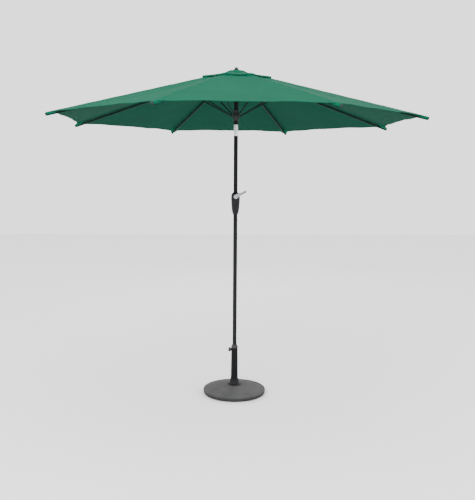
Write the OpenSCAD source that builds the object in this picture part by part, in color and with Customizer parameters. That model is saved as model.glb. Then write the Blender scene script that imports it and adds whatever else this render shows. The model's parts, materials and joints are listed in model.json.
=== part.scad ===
// Patio umbrella with a weighted base: crank lift, push-button tilt, eight ribs.
// Millimetres, +Z up. Origin: on the floor, on the pole's axis. The crank faces -Y.

/* [Canopy] */
// Radius from the pole's axis to the corner of the fabric
canopy_r = 1350; // [1000:10:1800]
// Slope of the open ribs below level, degrees
open_slope = 15.3; // [10:0.1:20]
// Slope of the folded ribs below level, degrees
folded_slope = 85.5; // [82:0.1:86.5]
// Thickness of the fabric panels
fabric_t = 1; // [0.6:0.1:1.6]
// Gap between neighbouring panels
panel_gap = 0.5; // [0.3:0.1:1]
// Gap between a panel's halves at the rib's seam
seam_gap = 0.1; // [0.1:0.1:0.4]
// Gap between the rib's top and the fabric
fabric_lift = 1.5; // [1:0.1:4]
// How far the hem stops short of the rib tip
hem_setback = 40; // [30:1:90]
// How far the hem's middle curves inward
hem_sag = 40; // [10:1:80]
// Half width of the corner pocket over a rib tip
pocket_half_w = 20; // [14:1:30]
// Radius of the vent opening under the cap
vent_r = 150; // [80:1:200]
// Radius of the vent cap at its corners
cap_r = 265; // [220:1:340]
// Height of the vent cap's corner above the fabric
cap_rise = 17; // [10:1:30]

/* [Frame] */
// Height of the rib pivots above the floor
hub_h = 2378; // [2150:1:2900]
// Distance from the hub's barrel out to the rib pivots
pivot_reach = 7.5; // [7:0.5:14]
// Width of a rib tube
rib_w = 10; // [8:0.5:12]
// Depth of a rib tube
rib_d = 14; // [10:0.5:18]
// Wall of the rib and strut tubes
rib_wall = 1.2; // [0.8:0.1:2]
// Distance from the hub pivot to the strut's pivot on the rib
strut_at = 390; // [360:1:400]
// How far the strut's pivot sits below the rib's middle
saddle_drop = 14; // [13:0.5:18]
// Length of a strut between its pivots
strut_len = 422; // [410:1:470]
// Width of a strut
strut_w = 6; // [5:0.5:6]
// Depth of a strut
strut_d = 10; // [8:0.5:10]
// Diameter of the pivot pins
pin_d = 4; // [3:0.5:4]

/* [Pole] */
// Outside diameter of the pole
pole_d = 30; // [25:0.5:38]
// Wall of the pole
pole_wall = 1.5; // [1:0.1:1.5]
// How far the tilt joint stands proud of the pole
tilt_lip = 0.75; // [0.5:0.05:2]
// Height of the tilt joint on each side of its pin
tilt_half_h = 40; // [35:1:60]
// Gap between the open runner and the tilt joint
tilt_gap = 28; // [10:1:120]
// Diameter of the tilt pin
tilt_pin_d = 5; // [4:0.5:6]
// Diameter of the tilt button
button_d = 9; // [8:0.5:10]
// Travel of the tilt button
button_travel = 1.5; // [1:0.1:2]

/* [Runner] */
// Clearance between the pole and the runner's bore
runner_play = 3.5; // [3:0.1:6]
// Wall of the runner's barrel
runner_wall = 3; // [2.5:0.1:5]
// Distance from the pivots out to the flanges' edge
flange_edge = 8; // [7:0.5:10]
// Length of the runner above its pivots
runner_head = 44; // [30:1:60]
// Length of the runner below its pivots
runner_foot = 30; // [10:1:32]

/* [Crank] */
// Gap between the folded runner and the crank housing
housing_gap = 22; // [5:1:200]
// Widest half width of the crank housing
housing_r = 32.5; // [30:0.5:40]
// Height of the crank housing
housing_h = 163; // [150:1:200]
// Distance of the crank's shaft below the housing's top
crank_drop = 30; // [24:1:50]
// Reach of the housing in front of the pole's axis
housing_front_y = 38; // [34:1:44]
// Reach of the housing behind the pole's axis
housing_back_y = 24; // [22:0.5:30]
// Wall of the crank housing
housing_wall = 2.5; // [2:0.1:3]
// Sideways reach of the crank arm
arm_x = 68; // [55:1:85]
// Upward reach of the crank arm
arm_z = 38; // [30:1:50]
// Diameter of the crank's hub
arm_hub_d = 34; // [30:1:38]
// Thickness of the crank arm
arm_t = 7; // [5:0.5:9]
// Diameter of the crank shaft
shaft_d = 8; // [7:0.5:9]
// Diameter of the cord spool
spool_d = 18; // [16:0.5:18]
// Length of the crank knob
knob_len = 40; // [30:1:45]
// Diameter of the crank knob
knob_d = 17; // [14:0.5:20]
// Diameter of the lift cord
cord_d = 2.2; // [1.8:0.1:2.4]

/* [Base] */
// Diameter of the weighted base
base_d = 467; // [380:1:560]
// Height of the base at its edge
base_edge_h = 34; // [26:1:50]
// Height of the base at its middle
base_top_h = 72; // [65:1:90]
// Height of the rubber feet
foot_h = 3; // [2:0.5:5]
// Outside diameter of the base tube at its top
tube_d = 48; // [46:0.5:60]
// Outside diameter of the base tube at its foot
tube_foot_d = 55; // [48:0.5:66]
// Wall of the base tube
tube_wall = 2; // [1.5:0.1:2.5]
// Height of the base tube's top
tube_top_h = 350; // [300:1:420]
// Height of the tapered collar on the base tube
collar_h = 23; // [18:1:30]
// Diameter of the flared cover's foot
flare_d = 106; // [90:1:130]
// Height of the flared cover
flare_h = 40; // [30:1:50]
// Distance of the clamp knob below the tube's top
clamp_drop = 14; // [12:1:20]
// Diameter of the clamp knob
clamp_d = 35; // [30:1:44]

/* [Hidden] */
$fn = 48;
hull_fn = 32;
rib_count = 8;
rib_step = 360 / rib_count;
half_step = rib_step / 2;
run_fit = 0.05;          // radial clearance of a pin in its bore
seat_fit = 0.1;          // radial clearance of a strut pin in its open seat
slide_fit = 0.3;         // clearance between faces that slide or turn past each other
slot_fit = 0.3;          // clearance on each side of a rib or strut in its slot
cut = 1;                 // how far a cutting shape runs past the face it cuts
seam = 0.01;             // gap that keeps two solids of one node apart
thread_gap = 0.1;        // how far a screw's hole is smaller than its thread

pole_r = pole_d / 2;
pole_in_r = pole_r - pole_wall;
pin_r = pin_d / 2;
hub_wall = 5.5;
hub_barrel_r = pole_r + hub_wall;
pivot_r = hub_barrel_r + pivot_reach;
flange_r = pivot_r + flange_edge;
tilt_d = pole_d + 2 * tilt_lip;
runner_bore = pole_d + 2 * runner_play;
runner_d = runner_bore + 2 * runner_wall;

// Four-bar linkage of hub, rib, strut and runner: s is the rib's slope
saddle_reach = norm([strut_at, saddle_drop]);
saddle_angle = atan2(saddle_drop, strut_at);
function saddle_out(s) = saddle_reach * cos(s + saddle_angle);
function saddle_down(s) = saddle_reach * sin(s + saddle_angle);
function strut_rise(s) = sqrt(strut_len * strut_len - saddle_out(s) * saddle_out(s));
function runner_at(s) = hub_h - saddle_down(s) - strut_rise(s);
runner_h = runner_at(open_slope);
folded_h = runner_at(folded_slope);
strut_slope = atan2(strut_rise(open_slope), saddle_out(open_slope));

rib_len = (canopy_r - pivot_r) / cos(open_slope);
rib_start = 12;
eye_r = 6;
eye_w = 6;
eye_shank = 20;
tip_plug_len = 8;
saddle_t = 1.5;
saddle_half_len = 13;
saddle_neck_half = 6;
tip_spigot = 12;
strut_body_start = 14;
strut_eye_extra = 0.5;
strut_end_len = 20;
strut_end_r = 5.5;

tilt_h = runner_h - runner_foot - tilt_gap - tilt_half_h;
ear_step = 1.25;         // how far the ears' rounding lies inside the tilt joint's skin
tilt_r = tilt_d / 2 - ear_step;
ear_gap = 1.5;           // clearance above and below the ears' rounding
tongue_half = 6;
tilt_bore_d = 6;
tilt_bore_x = 6;
spring_start = 9;
button_start = 12;
spring_r = 3.4;
spring_in_r = 2.4;
cord_lead = 20;          // straight run of the cord before it enters the tilt joint's bore
plug_len = 35;
plug_r = pole_in_r - run_fit;

hub_foot = 53;
hub_head = 8;
hub_under = 2;
pole_short = 2;          // how far the pole's end stays below the hub's top
hub_plug_len = 22;
stud_r = 4;
stud_len = 20;
spacer_r = 8.5;
spacer_h = 12;
finial_r = 17;
finial_h = 17;
hub_top_h = hub_h + hub_head;
flange_t = 12;
pin_half = 8;
pulley_drop = 33;
pulley_h = hub_h - pulley_drop;
pulley_r = 9.8;
pulley_w = 5;
pulley_groove_r = 8.3;
pulley_rim = 0.6;
cord_off_groove = 0.6;   // how far the outer cord runs outside the groove's radius
cord_out_x = (runner_bore + runner_d) / 4 + 0.4;
pulley_x = cord_out_x - pulley_groove_r - cord_off_groove;
pulley_pin_half = pole_r - 1;
pulley_slot_half = 3;
pulley_room = 12;
cord_in_x = pulley_x - pulley_groove_r - cord_d / 2 - slide_fit - thread_gap;

housing_top = folded_h - runner_foot - housing_gap;
housing_foot = housing_top - housing_h;
crank_h = housing_top - crank_drop;
shoulder_r = 12;
shoulder_x = housing_r - 18;
widest_h = housing_top - 48;
waist_step = 4;
waist_h = housing_foot + 54;
neck_r = pole_r + 5;
arm_stand = 15;          // distance from the housing's front to the arm's middle
arm_y = -(housing_front_y + arm_stand);
arm_half = arm_t / 2;
arm_mid_r = 8;
arm_end_r = 7;
arm_neck = 5;            // how much narrower the arm starts than its hub
bush_wall = 3;
bush_r = shaft_d / 2 + bush_wall;
bush_back = 2;           // gap from the pole's skin to the bush
boss_wall = 4;
back_boss_wall = 2;
screw_r = 2;
screw_head_r = 4;
screw_head_depth = 4;
screw_bite = 16;
screw_x = 20;
screw_rise = 16;
screw_pitch = 30;
skin = 1;                // how far bosses and heads stay inside the housing's skin
shell_gap = 0.1;         // half the gap between the housing's shells
spool_half = 8;
winding_half = 4;
spool_room = 1.5;
knob_pin_r = 3;
knob_head_r = 4.5;
knob_head_t = 2;
knob_gap = 0.4;
cap_screw_r = 6;
cap_screw_t = 2.5;

tube_r = tube_d / 2;
tube_in_r = tube_r - tube_wall;
tube_foot_h = 20;
tube_plug_t = 12;
foot_r = 14;
foot_inset = 40;
foot_sink = 2;
base_corner = 8;
dome_drop = 4;
bolt_r = 5;
bolt_head_r = 9;
bolt_head_h = 6.5;
washer_r = 17;
washer_t = 2;
recess_r = 24;
recess_h = 12;
neck_wall = 4.5;
flare_lip = 12;
sleeve_rise = 40;
sleeve_len = 35;
collar_spigot = 34;
collar_lip = 1.5;
collar_step = 6;
collar_wall = 4;
clamp_h = tube_top_h - clamp_drop;
clamp_screw_r = 4;
boss_len = 3.5;
boss_r = 9;
screw_tail = 11;
knob_lobes = 6;
lobe_r = 5;
lobe_reach = 2;
clamp_knob_t = 18;
pole_foot_h = tube_foot_h + tube_plug_t + slide_fit;
pole_foot_t = 4;
pole_start = pole_foot_h + pole_foot_t;
pole_spigot = 20;

// Outer radius of the tapered base tube at height z
tube_len = tube_top_h - tube_foot_h;
function tube_r_at(z) = (tube_foot_d + (tube_d - tube_foot_d) * (z - tube_foot_h) / tube_len) / 2;

// ---- helpers ----

// A tube standing on z
module pipe(r, r_in, h) {
    difference() {
        cylinder(r = r, h = h);
        translate([0, 0, -1]) cylinder(r = r_in, h = h + 2);
    }
}

// A cylinder along Y from y0 to y1
module rod_y(r, y0, y1) {
    translate([0, y1, 0]) rotate([90, 0, 0]) cylinder(r = r, h = y1 - y0);
}

// A cylinder along X from x0 to x1
module rod_x(r, x0, x1) {
    translate([x0, 0, 0]) rotate([0, 90, 0]) cylinder(r = r, h = x1 - x0);
}

// A round cord between two points of the XZ plane
module cord_leg(a, b) {
    d = b - a;
    translate([a[0], 0, a[1]]) rotate([0, atan2(d[0], d[1]), 0]) cylinder(d = cord_d, h = norm(d));
}

// ---- base ----

// Puts its children at each foot's place
module feet_at() {
    for (i = [0:3]) rotate(45 + 90 * i) translate([base_d / 2 - foot_inset, 0, 0]) children();
}

// Half outline of the weighted base: a low dome with a soft edge
function dome_at(r) = base_edge_h + (base_top_h - base_edge_h) * cos(90 * r / (base_d / 2));
module base_weight() {
    base_r = base_d / 2;
    corner = base_corner;
    steps = 12;
    dome = [for (i = [0:steps]) let (r = (base_r - corner) * i / steps)
        [r, dome_at(r) - dome_drop * (r / base_r)]];
    edge = [for (a = [75:-15:0])
        [base_r - corner + corner * cos(a), dome_at(base_r - corner) - dome_drop - corner + corner * sin(a)]];
    bevel = 3;
    color("#6c6c6a") difference() {
        rotate_extrude($fn = 96)
            polygon(concat([[0, foot_h]], dome, edge, [[base_r, foot_h + bevel], [base_r - bevel, foot_h]]));
        translate([0, 0, tube_foot_h]) cylinder(r = tube_foot_d / 2 + slide_fit, h = base_top_h);
        translate([0, 0, -cut]) cylinder(r = bolt_r + slide_fit, h = base_top_h);
        translate([0, 0, -cut]) cylinder(r = recess_r, h = recess_h + cut);
        feet_at() translate([0, 0, -cut]) cylinder(r = foot_r + 2 * thread_gap, h = foot_h + foot_sink + cut);
    }
}

module base_feet() {
    color("#2a2a2a") feet_at() cylinder(r = foot_r, h = foot_h + foot_sink);
}

// The bolt that holds the base tube down, with its washer as a separate solid
module base_bolt() {
    color("#9a9a9a") {
        translate([0, 0, recess_h - washer_t - bolt_head_h])
            cylinder(r = bolt_head_r, h = bolt_head_h, $fn = 6);
        translate([0, 0, recess_h - washer_t - cut / 2])
            cylinder(r = bolt_r - run_fit, h = tube_foot_h + tube_plug_t - recess_h + washer_t);
        translate([0, 0, recess_h - washer_t]) pipe(washer_r, bolt_r + slide_fit, washer_t);
    }
}

// Base tube, with the clamp's welded nut boss as a separate solid
module base_tube() {
    color("#232325") {
        difference() {
            translate([0, 0, tube_foot_h]) cylinder(d1 = tube_foot_d, d2 = tube_d, h = tube_len);
            translate([0, 0, tube_foot_h - cut]) cylinder(r = tube_in_r, h = tube_len + 2 * cut);
            translate([0, 0, clamp_h]) rod_x(clamp_screw_r + cut, -tube_foot_d, 0);
        }
        translate([0, 0, clamp_h]) difference() {
            rod_x(boss_r, -tube_r - boss_len, -tube_in_r - cut);
            rod_x(clamp_screw_r + run_fit, -tube_r - boss_len - cut, 0);
            translate([0, 0, -2 * boss_r])
                cylinder(r = tube_r_at(clamp_h - boss_r) + run_fit, h = 4 * boss_r);
        }
    }
}

module tube_plug() {
    color("#55565a") translate([0, 0, tube_foot_h]) pipe(tube_in_r - run_fit, bolt_r, tube_plug_t);
}

// Flared cover that hides the tube's foot
module flared_cover() {
    skirt_r = flare_d / 2;
    top = base_top_h + flare_h;
    lip_h = top - flare_lip;
    bore_r = tube_r_at(lip_h) + slide_fit;
    outer_r = bore_r + neck_wall;
    shell = 3;
    rise = flare_h - flare_lip - shell;
    flare = [for (a = [0:10:90])
        [outer_r + (skirt_r - outer_r) * (1 - sin(a)), base_top_h + 2 * shell + rise * (1 - cos(a))]];
    color("#26272a") rotate_extrude($fn = 96)
        polygon(concat([[skirt_r - shell, base_top_h], [skirt_r, base_top_h]], flare,
            [[outer_r, top], [bore_r, top], [bore_r, lip_h],
             [outer_r - shell, lip_h], [outer_r - shell, base_top_h + flare_h / 2],
             [skirt_r - 3 * shell, base_top_h + 2 * shell]]));
}

module lower_sleeve() {
    color("#1c1c1c") translate([0, 0, tube_foot_h + sleeve_rise])
        pipe(tube_in_r - run_fit, pole_r + slide_fit, sleeve_len);
}

// Tapered collar: its spigot fills the tube around the pole and lets the clamp screw through
module tube_collar() {
    color("#1a1b1d") difference() {
        rotate_extrude()
            polygon([[pole_r + slide_fit, tube_top_h - collar_spigot],
                [tube_in_r - run_fit, tube_top_h - collar_spigot],
                [tube_in_r - run_fit, tube_top_h], [tube_r + collar_lip, tube_top_h],
                [tube_r + collar_lip, tube_top_h + collar_step],
                [pole_r + collar_wall, tube_top_h + collar_h],
                [pole_r + slide_fit, tube_top_h + collar_h]]);
        translate([0, 0, clamp_h]) rod_x(clamp_screw_r + 2 * slide_fit, -tube_r, 0);
    }
}

module clamp_screw() {
    color("#a5a6a8") translate([0, 0, clamp_h])
        rod_x(clamp_screw_r, -tube_r - boss_len - screw_tail, -pole_r - slide_fit);
}

// Knob with six finger lobes
module clamp_knob() {
    start = tube_r + boss_len + slide_fit + 2 * thread_gap;
    color("#1d1e20") translate([0, 0, clamp_h]) difference() {
        rotate([0, -90, 0]) translate([0, 0, start]) {
            cylinder(r = clamp_d / 2 - lobe_r + lobe_reach, h = clamp_knob_t);
            for (i = [0:knob_lobes - 1]) rotate(360 / knob_lobes * i)
                translate([clamp_d / 2 - lobe_r, 0, 0]) cylinder(r = lobe_r, h = clamp_knob_t);
        }
        rod_x(clamp_screw_r, -tube_r - boss_len - screw_tail, 0);
    }
}

// ---- mast below the tilt joint ----

module pole_foot() {
    color("#1c1c1c") {
        translate([0, 0, pole_foot_h]) cylinder(r = pole_r - run_fit, h = pole_start - pole_foot_h);
        translate([0, 0, pole_start]) cylinder(r = plug_r, h = pole_spigot);
    }
}

module lower_pole() {
    top = tilt_h - tilt_half_h;
    color("#2b2c2f") difference() {
        translate([0, 0, pole_start]) pipe(pole_r, pole_in_r, top - pole_start);
        translate([0, 0, crank_h]) rod_y(spool_d / 2 + spool_room, -pole_d, 0);
        translate([0, 0, crank_h]) rod_y(shaft_d / 2 + spool_room, 0, pole_d);
    }
}

// Outline of the crank housing, seen from the front, drawn with a margin taken off
module housing_outline(margin) {
    hull() {
        for (side = [-1, 1]) translate([side * shoulder_x, housing_top - shoulder_r])
            circle(r = shoulder_r - margin, $fn = hull_fn);
        translate([0, widest_h]) circle(r = housing_r - margin, $fn = hull_fn);
        translate([0, waist_h]) circle(r = housing_r - waist_step - margin, $fn = hull_fn);
        translate([0, housing_foot + neck_r]) circle(r = neck_r - margin, $fn = hull_fn);
    }
}

// Half of the crank housing between two planes of Y, hollow inside
module housing_half(y0, y1, wall_side) {
    difference() {
        translate([0, y1, 0]) rotate([90, 0, 0]) linear_extrude(y1 - y0) housing_outline(0);
        translate([0, y1 + (wall_side > 0 ? -housing_wall : cut), 0]) rotate([90, 0, 0])
            linear_extrude(y1 - y0 - housing_wall + cut) housing_outline(housing_wall);
        translate([0, 0, housing_foot - cut]) cylinder(r = pole_r + run_fit, h = housing_h + 2 * cut);
    }
}

// Puts its children at each housing screw's place
module screws_at() {
    for (x = [-screw_x, screw_x], drop = [screw_rise, screw_rise + screw_pitch])
        translate([x, 0, crank_h - drop]) children();
}

module housing_front() {
    color("#202124") difference() {
        union() {
            housing_half(-housing_front_y, -shell_gap, -1);
            screws_at() rod_y(screw_head_r, -housing_front_y + skin, -shell_gap);
            translate([0, 0, crank_h]) rod_y(bush_r + boss_wall, -housing_front_y, -pole_r - bush_back);
        }
        translate([0, 0, crank_h]) rod_y(bush_r + run_fit, -housing_front_y - cut, -pole_r);
        screws_at() rod_y(screw_r - thread_gap, -screw_bite - 2 * cut, cut);
    }
}

module housing_back() {
    color("#202124") difference() {
        union() {
            housing_half(shell_gap, housing_back_y, 1);
            screws_at() rod_y(screw_head_r, shell_gap, housing_back_y - skin);
            translate([0, 0, crank_h]) rod_y(bush_r + back_boss_wall, pole_r + skin, housing_back_y - skin);
        }
        translate([0, 0, crank_h]) rod_y(shaft_d / 2 + run_fit, 0, housing_back_y - housing_wall);
        screws_at() {
            rod_y(screw_r + 2 * thread_gap, -cut, housing_back_y + cut);
            rod_y(screw_head_r + 2 * thread_gap, housing_back_y - screw_head_depth, housing_back_y + cut);
        }
    }
}

module housing_screws() {
    color("#8f9092") screws_at() {
        rod_y(screw_r - thread_gap - run_fit, -screw_bite, housing_back_y - screw_head_depth);
        rod_y(screw_head_r, housing_back_y - screw_head_depth, housing_back_y - skin);
    }
}

module crank_bush() {
    color("#b9b9b4") translate([0, 0, crank_h]) difference() {
        rod_y(bush_r, -housing_front_y, -pole_r - bush_back);
        rod_y(shaft_d / 2 + run_fit, -housing_front_y - cut, -pole_r);
    }
}

// Lower half of the tilt joint: a plug in the pole and two ears
module tilt_fork() {
    color("#d9dadc") translate([0, 0, tilt_h]) difference() {
        union() {
            translate([0, 0, -tilt_half_h - plug_len]) cylinder(r = plug_r, h = plug_len + cut);
            translate([0, 0, -tilt_half_h]) cylinder(d = tilt_d, h = tilt_half_h - tilt_r - ear_gap);
            for (side = [-1, 1]) intersection() {
                translate([0, 0, -tilt_half_h]) cylinder(d = tilt_d, h = 2 * tilt_half_h);
                translate([0, side > 0 ? tongue_half + slide_fit : -tilt_d, 0]) union() {
                    rod_y(tilt_r, 0, tilt_d - tongue_half - slide_fit);
                    translate([-tilt_r, 0, -tilt_half_h])
                        cube([2 * tilt_r, tilt_d - tongue_half - slide_fit, tilt_half_h]);
                }
            }
        }
        translate([tilt_bore_x, 0, -tilt_half_h - plug_len - cut])
            cylinder(d = tilt_bore_d, h = plug_len + tilt_half_h);
        rod_y(tilt_pin_d / 2 + run_fit, -tilt_d, tilt_d);
        rod_y(button_d / 2 + run_fit, -tilt_d, -spring_start);
    }
}

module tilt_pin() {
    color("#b5b6b8") translate([0, 0, tilt_h])
        rod_y(tilt_pin_d / 2, -spring_start, tilt_d / 2 - 2 * slide_fit);
}

module tilt_button() {
    color("#c9cacc") translate([0, 0, tilt_h])
        rod_y(button_d / 2, -tilt_d / 2 - button_travel, -button_start);
}

// Coil spring behind the button, drawn as its sleeve
module button_spring() {
    color("#9a9b9d") translate([0, 0, tilt_h]) difference() {
        rod_y(spring_r, -button_start, -spring_start);
        rod_y(spring_in_r, -button_start - cut, -spring_start + cut);
    }
}

module cord_lower() {
    low = [spool_d / 2 + cord_d / 2 + spool_room, crank_h + 2];
    high = [tilt_bore_x, tilt_h - tilt_half_h - plug_len - cord_lead];
    color("#3a3a38") {
        cord_leg(low, high);
        cord_leg(high, [tilt_bore_x, tilt_h - tilt_r - ear_gap]);
    }
}

// ---- crank ----

module crank_shaft() {
    color("#a9abad") translate([0, 0, crank_h]) {
        rod_y(spool_d / 2, -spool_half, spool_half);
        rod_y(shaft_d / 2, arm_y - arm_half + cut, 0);
        rod_y(shaft_d / 2, 0, housing_back_y - housing_wall - 2 * slide_fit);
    }
}

module cord_wound() {
    color("#3a3a38") translate([0, 0, crank_h]) difference() {
        rod_y(spool_d / 2 + cord_d / 2, -winding_half, winding_half);
        rod_y(spool_d / 2, -winding_half - cut, winding_half + cut);
    }
}

// Crank arm: it tapers from its hub out to the knob in a gentle curve
module crank_arm() {
    middle = [arm_x / 2, 0, arm_z / 2];
    color("#b9bbbd") translate([0, arm_y, crank_h]) difference() {
        union() {
            rod_y(arm_hub_d / 2, -arm_half, arm_half);
            hull() {
                rod_y(arm_hub_d / 2 - arm_neck, -arm_half, arm_half, $fn = hull_fn);
                translate(middle) rod_y(arm_mid_r, -arm_half, arm_half, $fn = hull_fn);
            }
            hull() {
                translate(middle) rod_y(arm_mid_r, -arm_half, arm_half, $fn = hull_fn);
                translate([arm_x, 0, arm_z]) rod_y(arm_end_r, -arm_half, arm_half, $fn = hull_fn);
            }
            rod_y(bush_r + back_boss_wall, arm_half - cut, arm_stand - skin);
        }
        rod_y(shaft_d / 2, -arm_half + cut, arm_stand + cut);
        rod_y(screw_r, -arm_t, arm_t);
        translate([arm_x, 0, arm_z]) rod_y(knob_pin_r, -arm_t, arm_t);
    }
}

// Screw that holds the arm on the shaft, and the pin that the knob turns on
module crank_fasteners() {
    color("#8f9193") translate([0, arm_y, crank_h]) {
        rod_y(cap_screw_r, -arm_half - cap_screw_t, -arm_half);
        rod_y(screw_r - run_fit, -arm_half, -arm_half + cut);
        translate([arm_x, 0, arm_z]) {
            rod_y(knob_pin_r, -arm_half - knob_len - skin, arm_half);
            rod_y(knob_head_r, -arm_half - knob_len - skin - knob_head_t, -arm_half - knob_len - skin);
        }
    }
}

module crank_knob() {
    length = knob_len - 2 * slide_fit;
    r = knob_d / 2;
    soft = 2;
    color("#1e1f21") translate([arm_x, arm_y - arm_half - knob_gap, crank_h + arm_z]) rotate([90, 0, 0])
        rotate_extrude() polygon([[knob_pin_r + run_fit, 0], [r - soft, 0], [r - soft / 4, soft],
            [r - soft / 2, length * 0.4], [r, length * 0.75], [r - soft / 2, length - soft],
            [r - 1.5 * soft, length], [knob_pin_r + run_fit, length]]);
}

// ---- mast above the tilt joint ----

module tilt_tongue() {
    color("#d9dadc") translate([0, 0, tilt_h]) difference() {
        union() {
            intersection() {
                rod_y(tilt_r, -tongue_half, tongue_half);
                cylinder(d = tilt_d, h = 4 * tilt_r, center = true);
            }
            translate([-tilt_r, -tongue_half, 0]) cube([2 * tilt_r, 2 * tongue_half, tilt_r + 2 * ear_gap]);
            translate([0, 0, tilt_r + ear_gap]) cylinder(d = tilt_d, h = tilt_half_h - tilt_r - ear_gap);
            translate([0, 0, tilt_half_h - cut]) cylinder(r = plug_r, h = plug_len + cut);
        }
        translate([tilt_bore_x, 0, -tilt_half_h])
            cylinder(d = tilt_bore_d, h = 2 * tilt_half_h + plug_len + cut);
        rod_y(tilt_pin_d / 2 + run_fit, -tilt_d, tilt_d);
    }
}

module upper_pole() {
    foot = tilt_h + tilt_half_h;
    color("#2b2c2f") difference() {
        translate([0, 0, foot]) pipe(pole_r, pole_in_r, hub_top_h - pole_short - foot);
        translate([0, -pulley_slot_half, pulley_h - pulley_room])
            cube([pole_d, 2 * pulley_slot_half, 2 * pulley_room]);
        translate([pulley_x, 0, pulley_h]) rod_y(pin_r + run_fit / 2, -pole_d, pole_d);
    }
}

// Slots and pin holes of a ring that carries eight pivots at height zero
module pivot_slots(width, low, high) {
    for (i = [0:rib_count - 1]) rotate(half_step + rib_step * i)
        translate([hub_barrel_r + cut / 2, -width / 2, low]) cube([flange_r, width, high - low]);
}

module hub() {
    color("#1f2023") translate([0, 0, hub_h]) difference() {
        union() {
            translate([0, 0, -hub_foot]) cylinder(r = hub_barrel_r, h = hub_foot + hub_head);
            translate([0, 0, -eye_r - hub_under]) cylinder(r = flange_r, h = eye_r + hub_under + hub_head);
        }
        translate([0, 0, -hub_foot - cut]) cylinder(r = pole_r + run_fit, h = hub_foot + hub_head + 2 * cut);
        pivot_slots(eye_w + 2 * slot_fit, -flange_r, flange_r);
        for (i = [0:rib_count - 1]) rotate(half_step + rib_step * i)
            translate([pivot_r, 0, 0]) rod_y(pin_r, -pin_half, pin_half);
        translate([0, -pulley_slot_half, -hub_foot - cut])
            cube([flange_r, 2 * pulley_slot_half, hub_foot + cut - pulley_drop + pulley_room]);
        translate([pulley_x, 0, -pulley_drop]) rod_y(pin_r + run_fit / 2, -pulley_pin_half, pulley_pin_half);
    }
}

// Eight rib pins and, as a separate solid, the pulley's pin
module hub_pins() {
    color("#9c9ea0") {
        for (i = [0:rib_count - 1]) rotate(half_step + rib_step * i)
            translate([pivot_r, 0, hub_h]) rod_y(pin_r, -pin_half, pin_half);
        translate([pulley_x, 0, pulley_h]) rod_y(pin_r, -pulley_pin_half, pulley_pin_half);
    }
}

module hub_plug() {
    color("#1f2023") translate([0, 0, hub_top_h - pole_short - hub_plug_len])
        pipe(plug_r, stud_r, hub_plug_len);
}

module pulley() {
    color("#c8c8c2") translate([pulley_x, 0, pulley_h]) rotate([90, 0, 0]) rotate_extrude()
        polygon([[pin_r + run_fit, -pulley_w / 2], [pulley_r, -pulley_w / 2],
            [pulley_r, -pulley_w / 2 + pulley_rim],
            [pulley_groove_r - cord_d / 2 - 2 * slide_fit, 0], [pulley_r, pulley_w / 2 - pulley_rim],
            [pulley_r, pulley_w / 2],
            [pin_r + run_fit, pulley_w / 2]]);
}

module cord_upper() {
    low = tilt_h - tilt_r + 2 * ear_gap;
    high = tilt_h + tilt_half_h + plug_len + cord_lead / 2;
    color("#3a3a38") {
        cord_leg([tilt_bore_x, low], [tilt_bore_x, high]);
        cord_leg([tilt_bore_x, high], [cord_in_x, pulley_h - pulley_room]);
    }
}

// Finial: a small domed cap whose threaded stud holds the vent cap on the hub
module finial() {
    dome = [[0, 0], [1, 0], [1, 0.18], [0.82, 0.35], [0.7, 0.65], [0.53, 0.85], [0.24, 0.97], [0, 1]];
    color("#3a3b3e") {
        translate([0, 0, hub_top_h + spacer_h]) rotate_extrude()
            polygon([for (p = dome) [p[0] * finial_r, p[1] * finial_h]]);
        translate([0, 0, hub_top_h - stud_len]) cylinder(r = stud_r - run_fit, h = stud_len + spacer_h + cut);
        translate([0, 0, hub_top_h]) pipe(spacer_r, stud_r, spacer_h - seam);
    }
}

// ---- runner, ribs, struts ----

// Runner: a barrel on the pole, and a slotted flange whose half-round seats carry the strut pins
module runner() {
    color("#212225") translate([0, 0, runner_h]) difference() {
        union() {
            translate([0, 0, -runner_foot]) cylinder(d = runner_d, h = runner_foot + runner_head);
            translate([0, 0, -seam]) cylinder(r = flange_r, h = flange_t);
        }
        translate([0, 0, -runner_foot - cut])
            cylinder(d = runner_bore, h = runner_foot + runner_head + 2 * cut);
        for (i = [0:rib_count - 1]) rotate(half_step + rib_step * i) {
            translate([runner_d / 2 + seam, -strut_w / 2 - slot_fit, -cut])
                cube([flange_r, strut_w + 2 * slot_fit, flange_t + 2 * cut]);
            translate([pivot_r, 0, 0])
                rod_y(pin_r + seat_fit, -pin_half - 2 * slide_fit, pin_half + 2 * slide_fit);
        }
    }
}

module cord_run() {
    color("#3a3a38") cord_leg([cord_out_x, runner_h + runner_head + slide_fit], [cord_out_x, pulley_h - cut]);
}

// A rectangular tube along X, from x0 to x1
module box_tube(x0, x1, w, d, wall) {
    difference() {
        translate([x0, -w / 2, -d / 2]) cube([x1 - x0, w, d]);
        translate([x0 - cut, -w / 2 + wall, -d / 2 + wall])
            cube([x1 - x0 + 2 * cut, w - 2 * wall, d - 2 * wall]);
    }
}

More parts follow.
